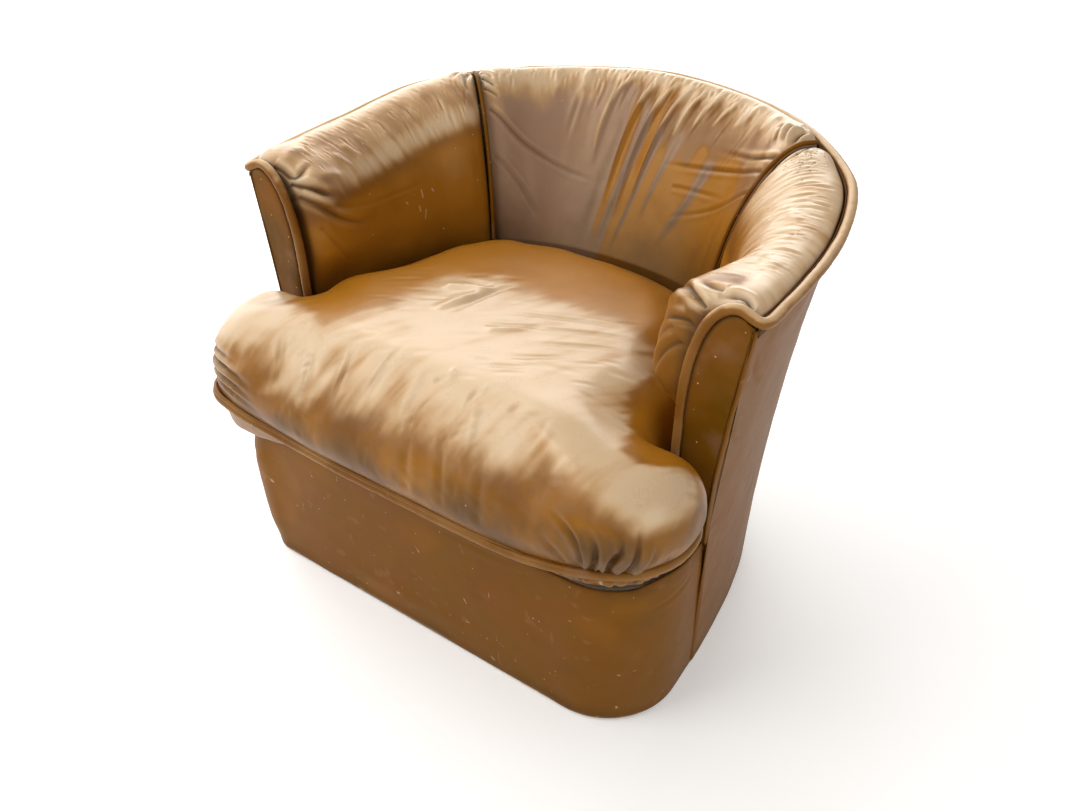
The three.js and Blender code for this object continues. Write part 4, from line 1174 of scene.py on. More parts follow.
SEAT_FRONT_FOLDS = (
    (((56.4, 334), (56.0, 356), (54.6, 384)), 4.5, 6.0),
    (((58.8, 334), (58.6, 360), (58.2, 400)), 5.0, 6.0),
    (((61.0, 334), (61.0, 360), (61.8, 396)), 5.0, 6.0),
    (((63.4, 336), (63.6, 364), (64.6, 400)), 4.0, 6.0),
)
# Where the seat is rubbed bare and painted with sheen, as points (x, y) in millimetres, and where it slopes
# to the welt.
SEAT_BARE_AND_SHEEN = (
    (-440, -186), (-300, -196), (-266, -250), (-176, -272), (-132, -196), (-116, -140), (-118, -84),
    (-60, -50), (50, -44), (150, -40), (208, -62), (236, -120), (246, -165), (256, -206), (290, -258),
    (332, -262), (358, -238), (440, -215), (440, -520), (-440, -520),
)


def inside_outline(points, outline):
    """Signed distance to an outline in plan, positive inside."""
    nodes = np.array(outline, float) * MM
    after = np.roll(nodes, -1, axis=0)
    best = np.full(len(points), 1e9)
    inside = np.zeros(len(points), bool)
    for a, b in zip(nodes, after):
        edge = b - a
        share = np.clip(((points - a) @ edge) / (edge @ edge), 0, 1)
        best = np.minimum(best, np.linalg.norm(points - a - share[:, None] * edge, axis=1))
        crosses = (a[1] > points[:, 1]) != (b[1] > points[:, 1])
        with np.errstate(divide="ignore", invalid="ignore"):
            at = a[0] + (points[:, 1] - a[1]) / (b[1] - a[1]) * edge[0]
        inside ^= crosses & (points[:, 0] < at)
    return np.where(inside, best, -best)


def thin_hidden(obj, ratio):
    """Fewer faces where the cushion is out of sight: underneath and against the arms and back."""
    place = coordinates(obj.data)
    under = place[:, 2] < 0.285
    behind = (place[:, 2] < 0.405) & (place[:, 1] > -0.16)
    group = obj.vertex_groups.new(name="hidden")
    group.add(np.flatnonzero(under | behind).tolist(), 1.0, "REPLACE")
    fewer = obj.modifiers.new("Fewer", "DECIMATE")
    fewer.ratio = ratio
    fewer.vertex_group = "hidden"
    keep_result(obj)
    obj.vertex_groups.clear()


def soften_crown(obj):
    """Rounds the shoulder between the cushion's top and its front."""
    group = obj.vertex_groups.new(name="crown")
    place = coordinates(obj.data)
    for number, share in enumerate(smooth(place[:, 2], 0.38, 0.43)):
        if share > 0:
            group.add([number], float(share), "REPLACE")
    soften = obj.modifiers.new("Crown", "SMOOTH")
    soften.factor = 0.5
    soften.iterations = 40
    soften.vertex_group = "crown"
    keep_result(obj)
    obj.vertex_groups.clear()


def crease_cushion(skin, tree):
    """Wrinkles the top and the front; tree finds the cushion's own surface."""

    def cast(start, way):
        hit = tree.ray_cast(start, way)[0]
        return (hit or tree.find_nearest(start)[0])[:]

    def on_top(path):
        return np.array([cast((x * MM, y * MM, 0.6), (0, 0, -1)) for x, y in path])

    def round_front(path):
        found = []
        for bearing, z in path:
            way = np.array([math.sin(math.radians(bearing)), -math.cos(math.radians(bearing)), 0])
            start = np.array([*SEAT_MIDDLE, z * MM]) + 0.5 * way
            found.append(cast(start.tolist(), (-way).tolist()))
        return np.array(found)

    skin.locate = on_top
    strokes(skin, SEAT_TOP_CREASES, SEAT_TOP_FOLDS, 0.4)
    rng = np.random.default_rng(71)
    for _ in range(70):
        x, y = rng.uniform(-260, 250), rng.uniform(-380, -50)
        slope = lerp(0.75, 0.35, (x + 260) / 510) + rng.uniform(-0.2, 0.2)
        run = rng.uniform(25, 70)
        rise = run * slope
        path = [(x, y), (x + 0.5 * run, y + 0.5 * rise + rng.uniform(-4, 4)), (x + run, y + rise)]
        skin.crease(path, rng.uniform(0.2, 0.6) * MM, rng.uniform(2.2, 4.5) * MM, 0.45, 0.5, 0.6, 0.08)
    skin.locate = round_front
    strokes(skin, SEAT_FRONT_CREASES, SEAT_FRONT_FOLDS)
    for _ in range(26):
        bearing, z = rng.uniform(-70, 66), rng.uniform(330, 400)
        path = [(bearing, z), (bearing + rng.uniform(-1.5, 1.5), z + rng.uniform(15, 45))]
        skin.crease(path, rng.uniform(0.2, 0.8) * MM, rng.uniform(2.5, 5) * MM, 0.4, 0.5, 0.6, 0.08)
    skin.lift += 0.0014 * noise(skin.points, 0.07, 5) * smooth(skin.points[:, 2], 0.29, 0.34)


def paint_cushion_wear_sheen_shade(skin):
    """Rubs the top and the front shoulder bare with a painted sheen, paints a reflection on the shoulder
    below it and shade on the front face, in the left corner and underneath, and leaves the rear and the
    notches their dye.
    """
    points, up, marks = skin.points, skin.normals[:, 2], skin.marks
    x, y, z = points.T
    mottle, fine = noise(points, 0.06, 73), noise(points, 0.014, 75)
    wander = np.column_stack([noise(points, 0.05, 77), noise(points, 0.05, 79)]) * 0.012
    edge = inside_outline(points[:, :2] + wander, SEAT_BARE_AND_SHEEN)
    streak = noise(np.column_stack([x * 0.9 - y * 0.45, 0.14 * y, 0.22 * z]), 0.016, 83)
    soft = lerp(0.045, 0.016, smooth(x, 0.17, 0.24)) * lerp(1, 0.5, smooth(-x, 0.14, 0.2))
    bare_and_sheen = smooth((edge + 0.012 * streak + 0.003 * fine) / soft, -1, 1)
    low_front = 0.26 * smooth(x, -0.30, -0.05) * (1 - smooth(x, 0.27, 0.36))
    # Bare and painted sheen only where the cushion looks up.
    bare_and_sheen *= smooth(up + 0.12 * mottle + 0.13 * streak, 0.08 + low_front, 0.88 + 0.35 * low_front)
    marks["wear_and_sheen"] += bare_and_sheen * (0.86 + 0.30 * mottle + 0.34 * streak)
    # Painted sky reflection, with fading, along the shoulder where the top turns down to the front.
    turned = smooth(up, 0.28, 0.5) * (1 - smooth(up, 0.6, 0.9)) * smooth(-y, 0.25, 0.32)
    marks["faded_and_reflection"] += 0.4 * turned * (0.8 + 0.4 * mottle + 0.3 * streak)
    marks["fiery"] += smooth(-edge, -0.02, 0.02) * smooth(up, 0.1, 0.5) * (0.85 + 0.3 * mottle)
    # Painted shade over the front face below the shoulder.
    front = (1 - smooth(up, 0.05, 0.6)) * smooth(z, 0.30, 0.33)
    marks["dirt_and_shade"] += front * (0.52 + 0.5 * mottle + 0.3 * streak)
    # Painted shade in the folds of the left corner, which is not bare.
    corner = smooth(-x, 0.335, 0.365) * smooth(z, 0.33, 0.35) * (1 - smooth(z, 0.395, 0.42))
    marks["wear_and_sheen"] -= 0.6 * corner
    marks["dirt_and_shade"] += 0.35 * corner
    # Painted shade below the welt and on faces that look down.
    marks["dirt_and_shade"] += 0.10 * (1 - smooth(z, 0.28, 0.31)) + 0.15 * (1 - smooth(up, -0.2, 0.15))


def build_cushion():
    obj = loft("seat_cushion_pad", cushion_start(FILLING_ROOM), leather_of("seat_leather"))
    remesh = obj.modifiers.new("Remesh", "REMESH")
    remesh.mode = "VOXEL"
    remesh.voxel_size = CUSHION_MESH
    keep_result(obj)
    fill_cushion(obj, 0.016)
    soften = obj.modifiers.new("Soften", "SMOOTH")
    soften.factor = 0.5
    soften.iterations = 5
    keep_result(obj)
    soften_crown(obj)
    finer = obj.modifiers.new("Finer", "SUBSURF")
    finer.levels = 1
    keep_result(obj)
    thin_hidden(obj, HIDDEN_SHARE)
    mesh = obj.data
    points, normals = coordinates(mesh), coordinates(mesh, "normal")
    skin = Skin(points, normals, None)
    crease_cushion(skin, BVHTree.FromPolygons(points.tolist(), [p.vertices[:] for p in mesh.polygons]))
    paint_cushion_wear_sheen_shade(skin)
    mesh.vertices.foreach_set("co", skin.moved().astype(np.float32).ravel())
    add_marks(mesh, skin.marks)
    mesh.update()
    mesh.shade_smooth()
    finish_piece(obj, "seat_leather", "seat_cushion_cover", "seat_cushion_foam")


# ---- welts ----

def frames_along(line):
    """Two directions across a line at each point, turned as little as possible."""
    along = unit(np.gradient(line, axis=0))
    first = unit(np.cross(along[0], [0.3, 0.2, 1]))
    across = [first]
    for k in range(1, len(line)):
        moved = across[-1] - along[k] * (across[-1] @ along[k])
        across.append(moved / np.linalg.norm(moved))
    across = np.array(across)
    return across, np.cross(along, across)


def build_roll(name, path, radius, material, seed, step=0.0024, sides=18, pucker=0.05, wear_and_sheen=0.5,
               end_taper=0.0):
    """Round welt along a path, wrinkled a little across."""
    line = Line(path)
    rough_length = np.linalg.norm(np.diff(line.at(np.linspace(0, 1, 400)), axis=0), axis=1).sum()
    count = int(rough_length / step)
    fine = line.at(np.linspace(0, 1, 6 * count))
    gone = np.concatenate([[0], np.cumsum(np.linalg.norm(np.diff(fine, axis=0), axis=1))])
    even = np.linspace(0, gone[-1], count)
    points = np.stack([np.interp(even, gone, fine[:, k]) for k in range(3)], axis=1)
    across, up = frames_along(points)
    angle = np.linspace(0, 2 * math.pi, sides, endpoint=False)
    ring = across[:, None] * np.cos(angle)[None, :, None] + up[:, None] * np.sin(angle)[None, :, None]
    surface = points[:, None] + ring * radius
    crinkle = noise(surface, 0.007, seed, 2) * pucker + noise(surface, 0.03, seed + 3, 2) * pucker * 1.3
    share = np.linspace(0, 1, count)
    taper = np.ones(count)
    if end_taper:
        taper = np.sqrt(smooth(share, 0, end_taper) * smooth(1 - share, 0, end_taper)) * 0.95 + 0.05
    surface = points[:, None] + ring * (radius * (1 + crinkle) * taper[:, None])[..., None]
    patch = noise(surface, 0.04, seed + 9)
    fine_patch = noise(surface, 0.009, seed + 12)
    upness = ring[..., 2]
    # Painted highlight along the top of the welt, painted shade along its underside and in the valleys of its
    # crinkles, and fading in patches.
    marks = {
        "wear_and_sheen": wear_and_sheen * smooth(upness + 0.3 * patch + 0.2 * fine_patch, 0.0, 0.9),
        "dirt_and_shade": 0.6 * smooth(-upness + 0.2 * patch, 0.3, 0.9),
        "crease": 0.5 * smooth(-noise(surface, 0.007, seed, 2), 0.45, 0.9),
        "faded_and_reflection": 0.3 * smooth(patch, 0.1, 0.5),
    }
    return loft(name, surface, material, marks)


def rim_path():
    radius = welt_radius()

    def beside_facing(u):
        point = inside_point(0, u, MM)
        point[1] = facing_y(point[2]) + radius - 1.5 * MM
        return point

    edge = [beside_facing(u) for u in (1.35, 1, 0.8, 0.6, 0.45, 0.3, 0.18)]
    turn = rim_point(0, radius + 4 * MM, radius)
    turn[1] = facing_y(turn[2]) + radius - 1.5 * MM
    around = [rim_point(t, radius, radius) for t in np.linspace(0, 0.5, 15)[1:]]
    half = np.array([*edge, turn, *around])
    path = np.vstack([half, half[-2::-1] * (-1, 1, 1)])
    number = np.arange(len(path))
    path[:, 2] -= 0.0028 * smooth(number, 12.5, 14.5) * (1 - smooth(number, len(path) - 8, len(path) - 7))
    return path


def build_rim_welt():
    obj = build_roll("rim_welt_roll", rim_path(), welt_radius(), leather_of("piping_leather"), 81, wear_and_sheen=0.62)
    finish_piece(obj, "piping", "rim_welt")


def build_rim_flange():
    """The edges of the rim welt's leather, tacked down between the inside and the outside covers."""
    t = np.linspace(0.001, 0.999, 500)
    radius = welt_radius()
    section = ((2.02, 0.9), (2.3, 0.8), (2.33, 2.2), (2.30, 3.9), (2.05, 3.9), (2.02, 2.2))
    rings = np.stack([rim_point(t, inset * radius, drop * radius) for inset, drop in section], axis=1)
    # Painted shade all over, for the gap between the covers that it sits in.
    marks = {"dirt_and_shade": np.ones(rings.shape[:2]), "crease": np.full(rings.shape[:2], 0.5)}
    obj = loft("rim_seam_allowance", rings, leather_of("outside_leather"), marks)
    finish_piece(obj, "outside_leather")


def build_seam_welts():
    radius = bpy.context.scene.chair_sizes.seam_welt
    for name, t in (("right", SEAM), ("left", 1 - SEAM)):
        path = np.array([inside_point(t, u, -radius - 0.5 * MM) for u in np.linspace(0.05, 1, 9)])
        material = leather_of("facing_leather")
        obj = build_roll(f"{name}_back_seam_roll", path, radius, material, 91, 0.0018, 14, 0.06, 0.15)
        finish_piece(obj, "piping", f"{name}_back_seam_welt")


def welt_line(outset, count):
    """Line beside the cushion's welt from the left ear round the front to the right one."""
    right, left = (cushion_half(0.97, 0, -outset, WELT_LEVEL, hand)[:count] for hand in (1, -1))
    return np.vstack([left[:0:-1], right]) * MM - CENTRE


def build_cushion_welt():
    radius = bpy.context.scene.chair_sizes.cushion_welt
    path = welt_line(radius / MM - 2.2, 9)
    material = leather_of("piping_leather")
    obj = build_roll("seat_cushion_roll", path, radius, material, 101, 0.0024, 18, 0.06, 0.05)
    finish_piece(obj, "piping", "seat_cushion_welt")
    upper = welt_line(radius / MM - 1.0, 8)[1:10]
    upper[:, 2] += np.linspace(0.0085, 0.0070, len(upper))
    second = build_roll("seat_cushion_second_roll", upper, 0.0036, material, 103, 0.0026, 12, 0.08, 0.14, 0.2)
    finish_piece(second, "seat_leather")


def build_puckers():
    """The slack of the cushion's underside, bunched below the welt at the right corner."""
    count = 150
    share = np.linspace(0, 1, count)
    line = Line(welt_line(-1.5, 8)[9:13]).at(share)
    hang = 0.013 * np.sin(math.pi * share) ** 0.7 + 0.001
    angle = np.linspace(0, 2 * math.pi, 26, endpoint=False)
    out = unit((line - np.array([0.2, -0.2, 0])) * (1, 1, 0))
    ruck = 1 + 0.22 * np.sin(share * 47) + 0.12 * np.sin(share * 83 + 1)
    tall = 0.5 * hang * (1 + 0.15 * np.sin(share * 31)) + 0.003
    centre = line - np.array([0, 0, 1]) * (0.004 + 0.5 * hang)[:, None]
    wide = out[:, None] * np.cos(angle)[None, :, None] * (0.0065 * ruck)[:, None, None]
    rings = centre[:, None] + wide + np.array([0, 0, 1]) * (tall[:, None] * np.sin(angle))[..., None]
    crinkle = noise(rings, 0.008, 105, 2)
    rings += unit(rings - rings.mean(1, keepdims=True)) * (crinkle * 0.0018)[..., None]
    # Painted shade in the valleys of the crinkles, a little darker all over, and wear in patches.
    marks = {"wear_and_sheen": 0.5 * smooth(noise(rings, 0.01, 107), 0.0, 0.5), "dirt_and_shade": np.full(crinkle.shape, 0.15),
             "crease": 0.7 * smooth(-crinkle, 0.15, 0.6)}
    obj = loft("seat_cushion_underside_puckers", rings, leather_of("piping_leather"), marks)
    finish_piece(obj, "seat_leather")


# ---- outside covers, apron and arm facings ----

class Cover(Upholstery):
    """Thin cover over the frame, whose inner face lies flat."""

    def __init__(self, outer, inner, middle, locate):
        super().__init__(outer, middle, -1, locate)
        self.inner = inner
        self.height = outer[..., 2]

    def wear(self, seed, wavy=0.0016, cloudy=0.12):
        """Slack, clouds of wear, and darker leather near the floor, that every outside cover has."""
        points = self.skin.points
        self.skin.lift += wavy * noise(points, 0.12, seed, 2) + 0.3 * wavy * noise(points, 0.03, seed + 2, 2)
        cloud = noise(points, 0.07, seed + 4)
        self.skin.marks["faded_and_reflection"] += cloudy * smooth(cloud, 0.0, 0.5)
        self.skin.marks["wear_and_sheen"] += 0.22 * smooth(noise(points, 0.018, seed + 6), 0.28, 0.6)
        low = 1 - smooth(points[:, 2] + 0.01 * cloud, 0.004, 0.045)
        self.skin.marks["dirt_and_shade"] += 0.5 * low
        self.skin.marks["wear_and_sheen"] += 0.9 * (1 - smooth(points[:, 2] + 0.004 * cloud, 0.004, 0.012))

    def scratches(self, seed, count, low, high, length=0.012):
        """Short pale scratches, strewn between two corners of the cover's own coordinates."""
        rng = np.random.default_rng(seed)
        for _ in range(count):
            start = np.array([rng.uniform(low[0], high[0]), rng.uniform(low[1], high[1])])
            way = np.array([rng.normal(0, 0.35) * length * 2, rng.normal(0, 1) * length * 1000])
            self.skin.band("scratch", [start, start + way], rng.uniform(0.5, 1), rng.uniform(0.6, 1.3) * MM)

    def build(self, name, material):
        return self.close(name, self.inner[:, ::-1], material)


def rising(low, top, rows):
    """Heights from low to top, close together at both ends, for a rounded edge."""
    ends = np.array([0, 0.002, 0.005, 0.010])
    middle = np.linspace(0.02, 0.98, rows)
    share = np.concatenate([ends, middle, 1 - ends[::-1]])
    return lerp(low, top[..., None], share)


def edge_roll(height, top):
    """How far a cover turns in at its hem and at its top edge."""
    return rounded(height - HEM, 0.004, 0.010) + rounded(top[:, None] - height, 0.002, 0.005)


def build_outside(side):
    near, far = SEAM - 0.0001, SEAM + 0.0001
    spans = {"right_arm": (0, near), "left_arm": (1, 1 - near), "back": (far, 1 - far)}
    t_from, t_to = spans[side]
    shares = np.linspace(0, 1, 230 if side == "back" else 200)
    t = lerp(t_from, t_to, shares)
    top = RIM.at(t)[:, 2] - COVER_DROP
    z = rising(HEM, top, 120)
    outer = outer_point(t[:, None], z, 0.0005)
    levels = lerp(HEM, top[:, None], np.linspace(0, 1, 24)[None])
    inner = outer_point(t[:, None], levels, COVER_THICK)
    if side != "back":
        for face in (outer, inner):
            run = np.linalg.norm(face - face[:1], axis=2)
            proud = (1 - smooth(run, 0, 0.03)) * smooth(face[..., 2], 0.259, 0.272)
            face[..., 1] -= (FACING_PROUD + 0.0008) * proud
    middle = np.array([0, 0, 0.3])

    def locate(path):
        return outer_point(lerp(t_from, t_to, path[:, 0]), path[:, 1] * MM, 0)

    cover = Cover(outer, inner, middle, locate)
    cover.sculpt(edge_roll(cover.height, top))
    low_front = 0.0025 if side == "back" else 0.0035
    cover.sculpt(rounded(cover.from_start, low_front, 0.007) + rounded(cover.from_end, 0.0025, 0.007))
    seed = {"right_arm": 141, "left_arm": 151, "back": 161}[side]
    cover.wear(seed)
    under_rim = top[:, None] - cover.height
    # Painted shade just under the rim welt, and darker along the seams at its ends.
    cover.mark("dirt_and_shade", 0.5 * np.exp(-under_rim / 0.012) + 0.5 * np.exp(-cover.from_end / 0.005))
    # Painted highlight along the front edge, where the cover turns round it.
    cover.mark("wear_and_sheen", 0.12 * np.exp(-cover.from_start / 0.004))
    if side == "back":
        cover.mark("dirt_and_shade", 0.5 * np.exp(-cover.from_start / 0.005))
    for path, depth, width, dark in OUTSIDE_CREASES[side]:
        cover.skin.crease(path, depth * MM, width * MM, 0.2, 0.6, 0.5, dark)
    for path, height, width in OUTSIDE_FOLDS[side]:
        cover.skin.fold(path, height * MM, width * MM, 0, 0.3, 0.5)
    cover.scratches(seed + 9, 46, (0.02, 20), (0.98, 560))
    obj = cover.build(f"outside_{side}_leather", leather_of("outside_leather"))
    finish_piece(obj, "outside_leather", f"outside_{side}_cover")


# Along the cover (0 at the arm's front, or at the right seam) and height in millimetres.
OUTSIDE_CREASES = {
    "right_arm": (
        (((0.02, 560), (0.10, 520), (0.20, 500)), 1.2, 5.0, 0.15),
        (((0.01, 470), (0.06, 440), (0.13, 425)), 1.0, 4.0, 0.15),
        (((0.01, 300), (0.05, 296), (0.12, 300)), 0.8, 4.0, 0.1),
    ),
    "left_arm": (
        (((0.02, 540), (0.12, 510), (0.22, 500)), 1.0, 5.0, 0.15),
        (((0.30, 590), (0.34, 540), (0.36, 480)), 0.8, 5.0, 0.1),
    ),
    "back": (
        (((0.10, 630), (0.14, 560), (0.15, 480)), 1.0, 6.0, 0.12),
        (((0.88, 620), (0.84, 560), (0.82, 500)), 1.0, 6.0, 0.12),
        (((0.50, 640), (0.51, 600), (0.50, 560)), 0.7, 6.0, 0.1),
    ),
}
OUTSIDE_FOLDS = {
    "right_arm": ((((0.05, 590), (0.25, 560), (0.45, 570)), 1.2, 16.0),),
    "left_arm": ((((0.05, 590), (0.25, 560), (0.45, 570)), 1.2, 16.0),),
    "back": ((((0.2, 600), (0.5, 585), (0.8, 600)), 1.4, 22.0),),
}


def apron_plan(inset, z, count):
    """Plan of the apron at height z, from its right end round the front to its left end."""
    half, front = APRON_HALF - inset, APRON_FRONT - CENTRE[1] + inset
    right, left = APRON_CORNER_RIGHT - inset, APRON_CORNER_LEFT - inset
    end = front_edge_y(z) - 0.002
    turn = np.linspace(0, math.pi / 2, 40)
    near = np.column_stack([half - right + right * np.cos(turn), front + right - right * np.sin(turn)])
    far = np.column_stack([left - half - left * np.sin(turn), front + left - left * np.cos(turn)])
    points = np.vstack([(half, end), near, far, (-half, end)])
    run = np.concatenate([[0], np.cumsum(np.linalg.norm(np.diff(points, axis=0), axis=1))])
    even = np.linspace(0, run[-1], count)
    return np.column_stack([np.interp(even, run, points[:, k]) for k in range(2)] + [np.full(count, z)])


# Along the apron (0 at its right end) and height in millimetres.
APRON_CREASES = (
    (((0.02, 236), (0.07, 222), (0.14, 214)), 1.0, 4.0, 0.15),
    (((0.85, 230), (0.90, 215), (0.97, 208)), 1.4, 5.0, 0.2),
    (((0.80, 240), (0.84, 190), (0.845, 120)), 1.2, 7.0, 0.1),
    (((0.30, 246), (0.38, 236), (0.50, 234)), 0.7, 5.0, 0.1),
)
APRON_FOLDS = (
    (((0.82, 225), (0.835, 150), (0.83, 60)), 2.0, 14.0),
    (((0.15, 220), (0.17, 140), (0.16, 50)), 1.2, 18.0),
    (((0.40, 60), (0.55, 52), (0.70, 60)), 1.2, 16.0),
)


def build_apron():
    count = 420
    along = apron_plan(0, 0.25, count)[:, 0]
    top = APRON_TOP + APRON_LIFT * smooth(along, 0.315, 0.348)

    def face(inset, levels):
        made = np.stack([apron_plan(inset, z, count) for z in levels], axis=1)
        made[..., 2] = lerp(HEM, top[:, None], (levels - HEM) / (levels[-1] - HEM))
        return made

    outer = face(0.0005, rising(HEM, np.array([APRON_TOP]), 100)[0])
    inner = face(COVER_THICK, np.linspace(HEM, APRON_TOP, 8))

    def locate(path):
        last = 399
        steps = np.round(np.clip(path[:, 0], 0, 1) * last).astype(int)
        return np.array([apron_plan(0, z * MM, last + 1)[step] for step, z in zip(steps, path[:, 1])])

    cover = Cover(outer, inner, np.array([0, -0.1, 0.1]), locate)
    share = np.linspace(0, 1, count)[:, None]
    height = cover.height
    ends = np.minimum(cover.from_start, cover.from_end)
    cover.sculpt(edge_roll(height, top) + rounded(ends, 0.003, 0.006))
    corner = np.exp(-((share - 0.885) / 0.085) ** 4)
    knocked = smooth(height, 0.01, 0.07) * (1 - smooth(height, 0.19, APRON_TOP))
    cover.sculpt(0.0085 * corner * knocked)
    cover.wear(171, 0.0013, 0.1)
    strokes(cover.skin, APRON_CREASES, APRON_FOLDS, 0.4)
    cover.scratches(181, 70, (0.02, 12), (0.98, 240))
    cover.scratches(183, 60, (0.10, 14), (0.42, 120))
    points = cover.skin.points
    cover.mark("fiery", 0.3 * smooth(noise(points, 0.10, 187), 0.05, 0.5))
    # Painted shade along the top, under the cushion's welt.
    cover.mark("dirt_and_shade", 0.35 * smooth(height, 0.235, APRON_TOP))
    blotches = smooth(noise(points, 0.05, 189), 0.1, 0.6).reshape(cover.shape)
    cover.mark("dirt_and_shade", 0.22 * blotches * (share < 0.4))
    obj = cover.build("front_apron_leather", leather_of("outside_leather"))
    finish_piece(obj, "outside_leather", "front_apron_cover")


def build_facing(name, side):
    rise = np.concatenate([np.linspace(0.02, 1, 150), np.linspace(1.01, 2, 40)])
    inner_edge = inside_point(0, rise, 0.0075)
    share = smooth(rise / 2, 0, 0.3)
    z = np.minimum(lerp(inner_edge[:, 2] - 0.008, inner_edge[:, 2], share), RIM.at(0.0)[2] - 0.0135)
    outer_edge = outer_point(0, z, COVER_THICK + 0.0004)
    foot = 0.263
    across = np.linspace(0, 1, 46)
    x = side * lerp(inner_edge[:, :1], outer_edge[:, :1], across)
    high = lerp(np.maximum(inner_edge[:, 2:], foot), np.maximum(outer_edge[:, 2:], foot), across)
    y = facing_y(high)
    outer = np.stack([x, y, high], axis=-1)
    inner = outer[:, ::4] + (0, COVER_THICK, 0)
    cover = Cover(outer, inner, np.array([side * 0.36, 0.2, 0.45]), None)
    width = np.linalg.norm(outer[:, -1] - outer[:, 0], axis=1)[:, None]
    from_inner, from_outer = across * width, (1 - across) * width
    from_top = cover.from_start
    pillow = rounded(from_inner, 0.0030, 0.012) + rounded(from_outer, 0.0012, 0.004)
    cover.sculpt(pillow + rounded(from_top, 0.002, 0.006))
    cover.sculpt(0.0011 * noise(outer, 0.05, 191 + side) + 0.0004 * noise(outer, 0.015, 193))
    cover.mark("wear_and_sheen", 0.10 * smooth(noise(outer, 0.012, 195), 0.25, 0.6))
    cover.mark("faded_and_reflection", 0.3 * smooth(noise(outer, 0.04, 197), 0.1, 0.6))
    # Painted shade beside the welt along the inner edge, and along both edges.
    cover.mark("dirt_and_shade", 0.5 * np.exp(-from_inner / 0.008))
    cover.mark("crease", 0.7 * np.exp(-(from_outer / 0.0022) ** 2) + 0.8 * np.exp(-(from_inner / 0.004) ** 2))
    obj = cover.build(f"{name}_facing_leather", leather_of("facing_leather"))
    finish_piece(obj, "outside_leather", f"{name}_arm_facing")


# ---- sheets ----

def tub_sheet(name, bottom, thick, tub_inset, apron_inset, cloth):
    """Thin sheet stretched across the tub at one height, rippled a little."""
    around = outer_point(np.linspace(0, 1, 160), bottom, tub_inset)
    front = apron_plan(apron_inset, bottom, 120)[::-1]
    outline = np.vstack([around, front])
    outline[:, 2] = 0
    middle = np.array([0, -0.06, 0])
    shares = np.concatenate([np.linspace(0.02, 0.9, 18), [0.95, 0.98, 1]])
    rings = middle + (outline - middle) * shares[:, None, None]
    ripple = 0.0004 * noise(rings, 0.05, 201, 2) * (1 - shares[:, None] ** 4)
    low, high = rings.copy(), rings.copy()
    low[..., 2] = bottom + ripple
    high[..., 2] = low[..., 2] + thick
    obj = loft(name, np.concatenate([low, high[::-1]]), finish_of(cloth, weave))
    return obj


def build_dust_cover():
    obj = tub_sheet("dust_cover_cloth", 0.0054, 0.0010, 0.009, 0.009, "lining_cloth")
    finish_piece(obj, "lining_cloth", "dust_cover")


def build_platform():
    obj = tub_sheet("seat_platform_cloth", 0.2582, 0.0012, FOAM_IN, 0.0045, "platform_cloth")
    finish_piece(obj, "lining_cloth", "seat_platform")


# ---- finishes of the frame itself ----

def finish_frame():
    """Gives every node that stays in sight its own finish."""
    kinds = {
        "frame_wood": (("_rail", "_post", "_slat"), raw_wood),
        "board": (("_board",), grey_board),
        "webbing": (("seat_strap",), weave),
        "zip_tape": (("_zip",), zip_finish),
        "glide_metal": (("_glide",), glide_metal),
        "foam": (("_foam",), foam_finish),
        "lining_cloth": (("dust_cover", "platform"), weave),
    }
    for name, node in NODES.items():
        finish = leather_of("outside_leather")
        for kind, (words, build) in kinds.items():
            if any(word in name for word in words):
                finish = finish_of(kind, build)
        node.data.materials.clear()
        node.data.materials.append(finish)


# ---- stage ----

def area_light(name, place, aim, size, power, colour_of):
    light = bpy.data.lights.new(name, "AREA")
    light.shape = "RECTANGLE"
    light.size, light.size_y = size
    light.energy = power
    light.color = colour_of
    obj = bpy.data.objects.new(name, light)
    obj.location = place
    way = Vector(aim) - Vector(place)
    obj.rotation_euler = way.to_track_quat("-Z", "Y").to_euler()
    bpy.context.scene.collection.objects.link(obj)
    return obj


def stage_floor():
    s = Shader("stage_floor")
    speckle = s.noise(s.place(), 60, 4)
    tone = s.mix(speckle, (0.90, 0.90, 0.90), (0.93, 0.93, 0.93))
    # The floor glows, more so away from the chair, so that it reads as an evenly white backdrop.
    away = s.reach(s.place()).step(1.2, 4.2)
    glow = s.mix(away, (0.30, 0.30, 0.30), (1, 1, 1))
    material = s.finish(Base_Color=tone, Roughness=0.7, Emission_Color=glow, Emission_Strength=0.66)
    half = 14.0
    corners = [(x, y, 0) for y in (-half, half) for x in (-half, half)]
    mesh = bpy.data.meshes.new("stage_floor")
    mesh.from_pydata(corners, [], [(0, 1, 3, 2)])
    mesh.materials.append(material)
    obj = bpy.data.objects.new("stage_floor", mesh)
    bpy.context.scene.collection.objects.link(obj)
    return obj


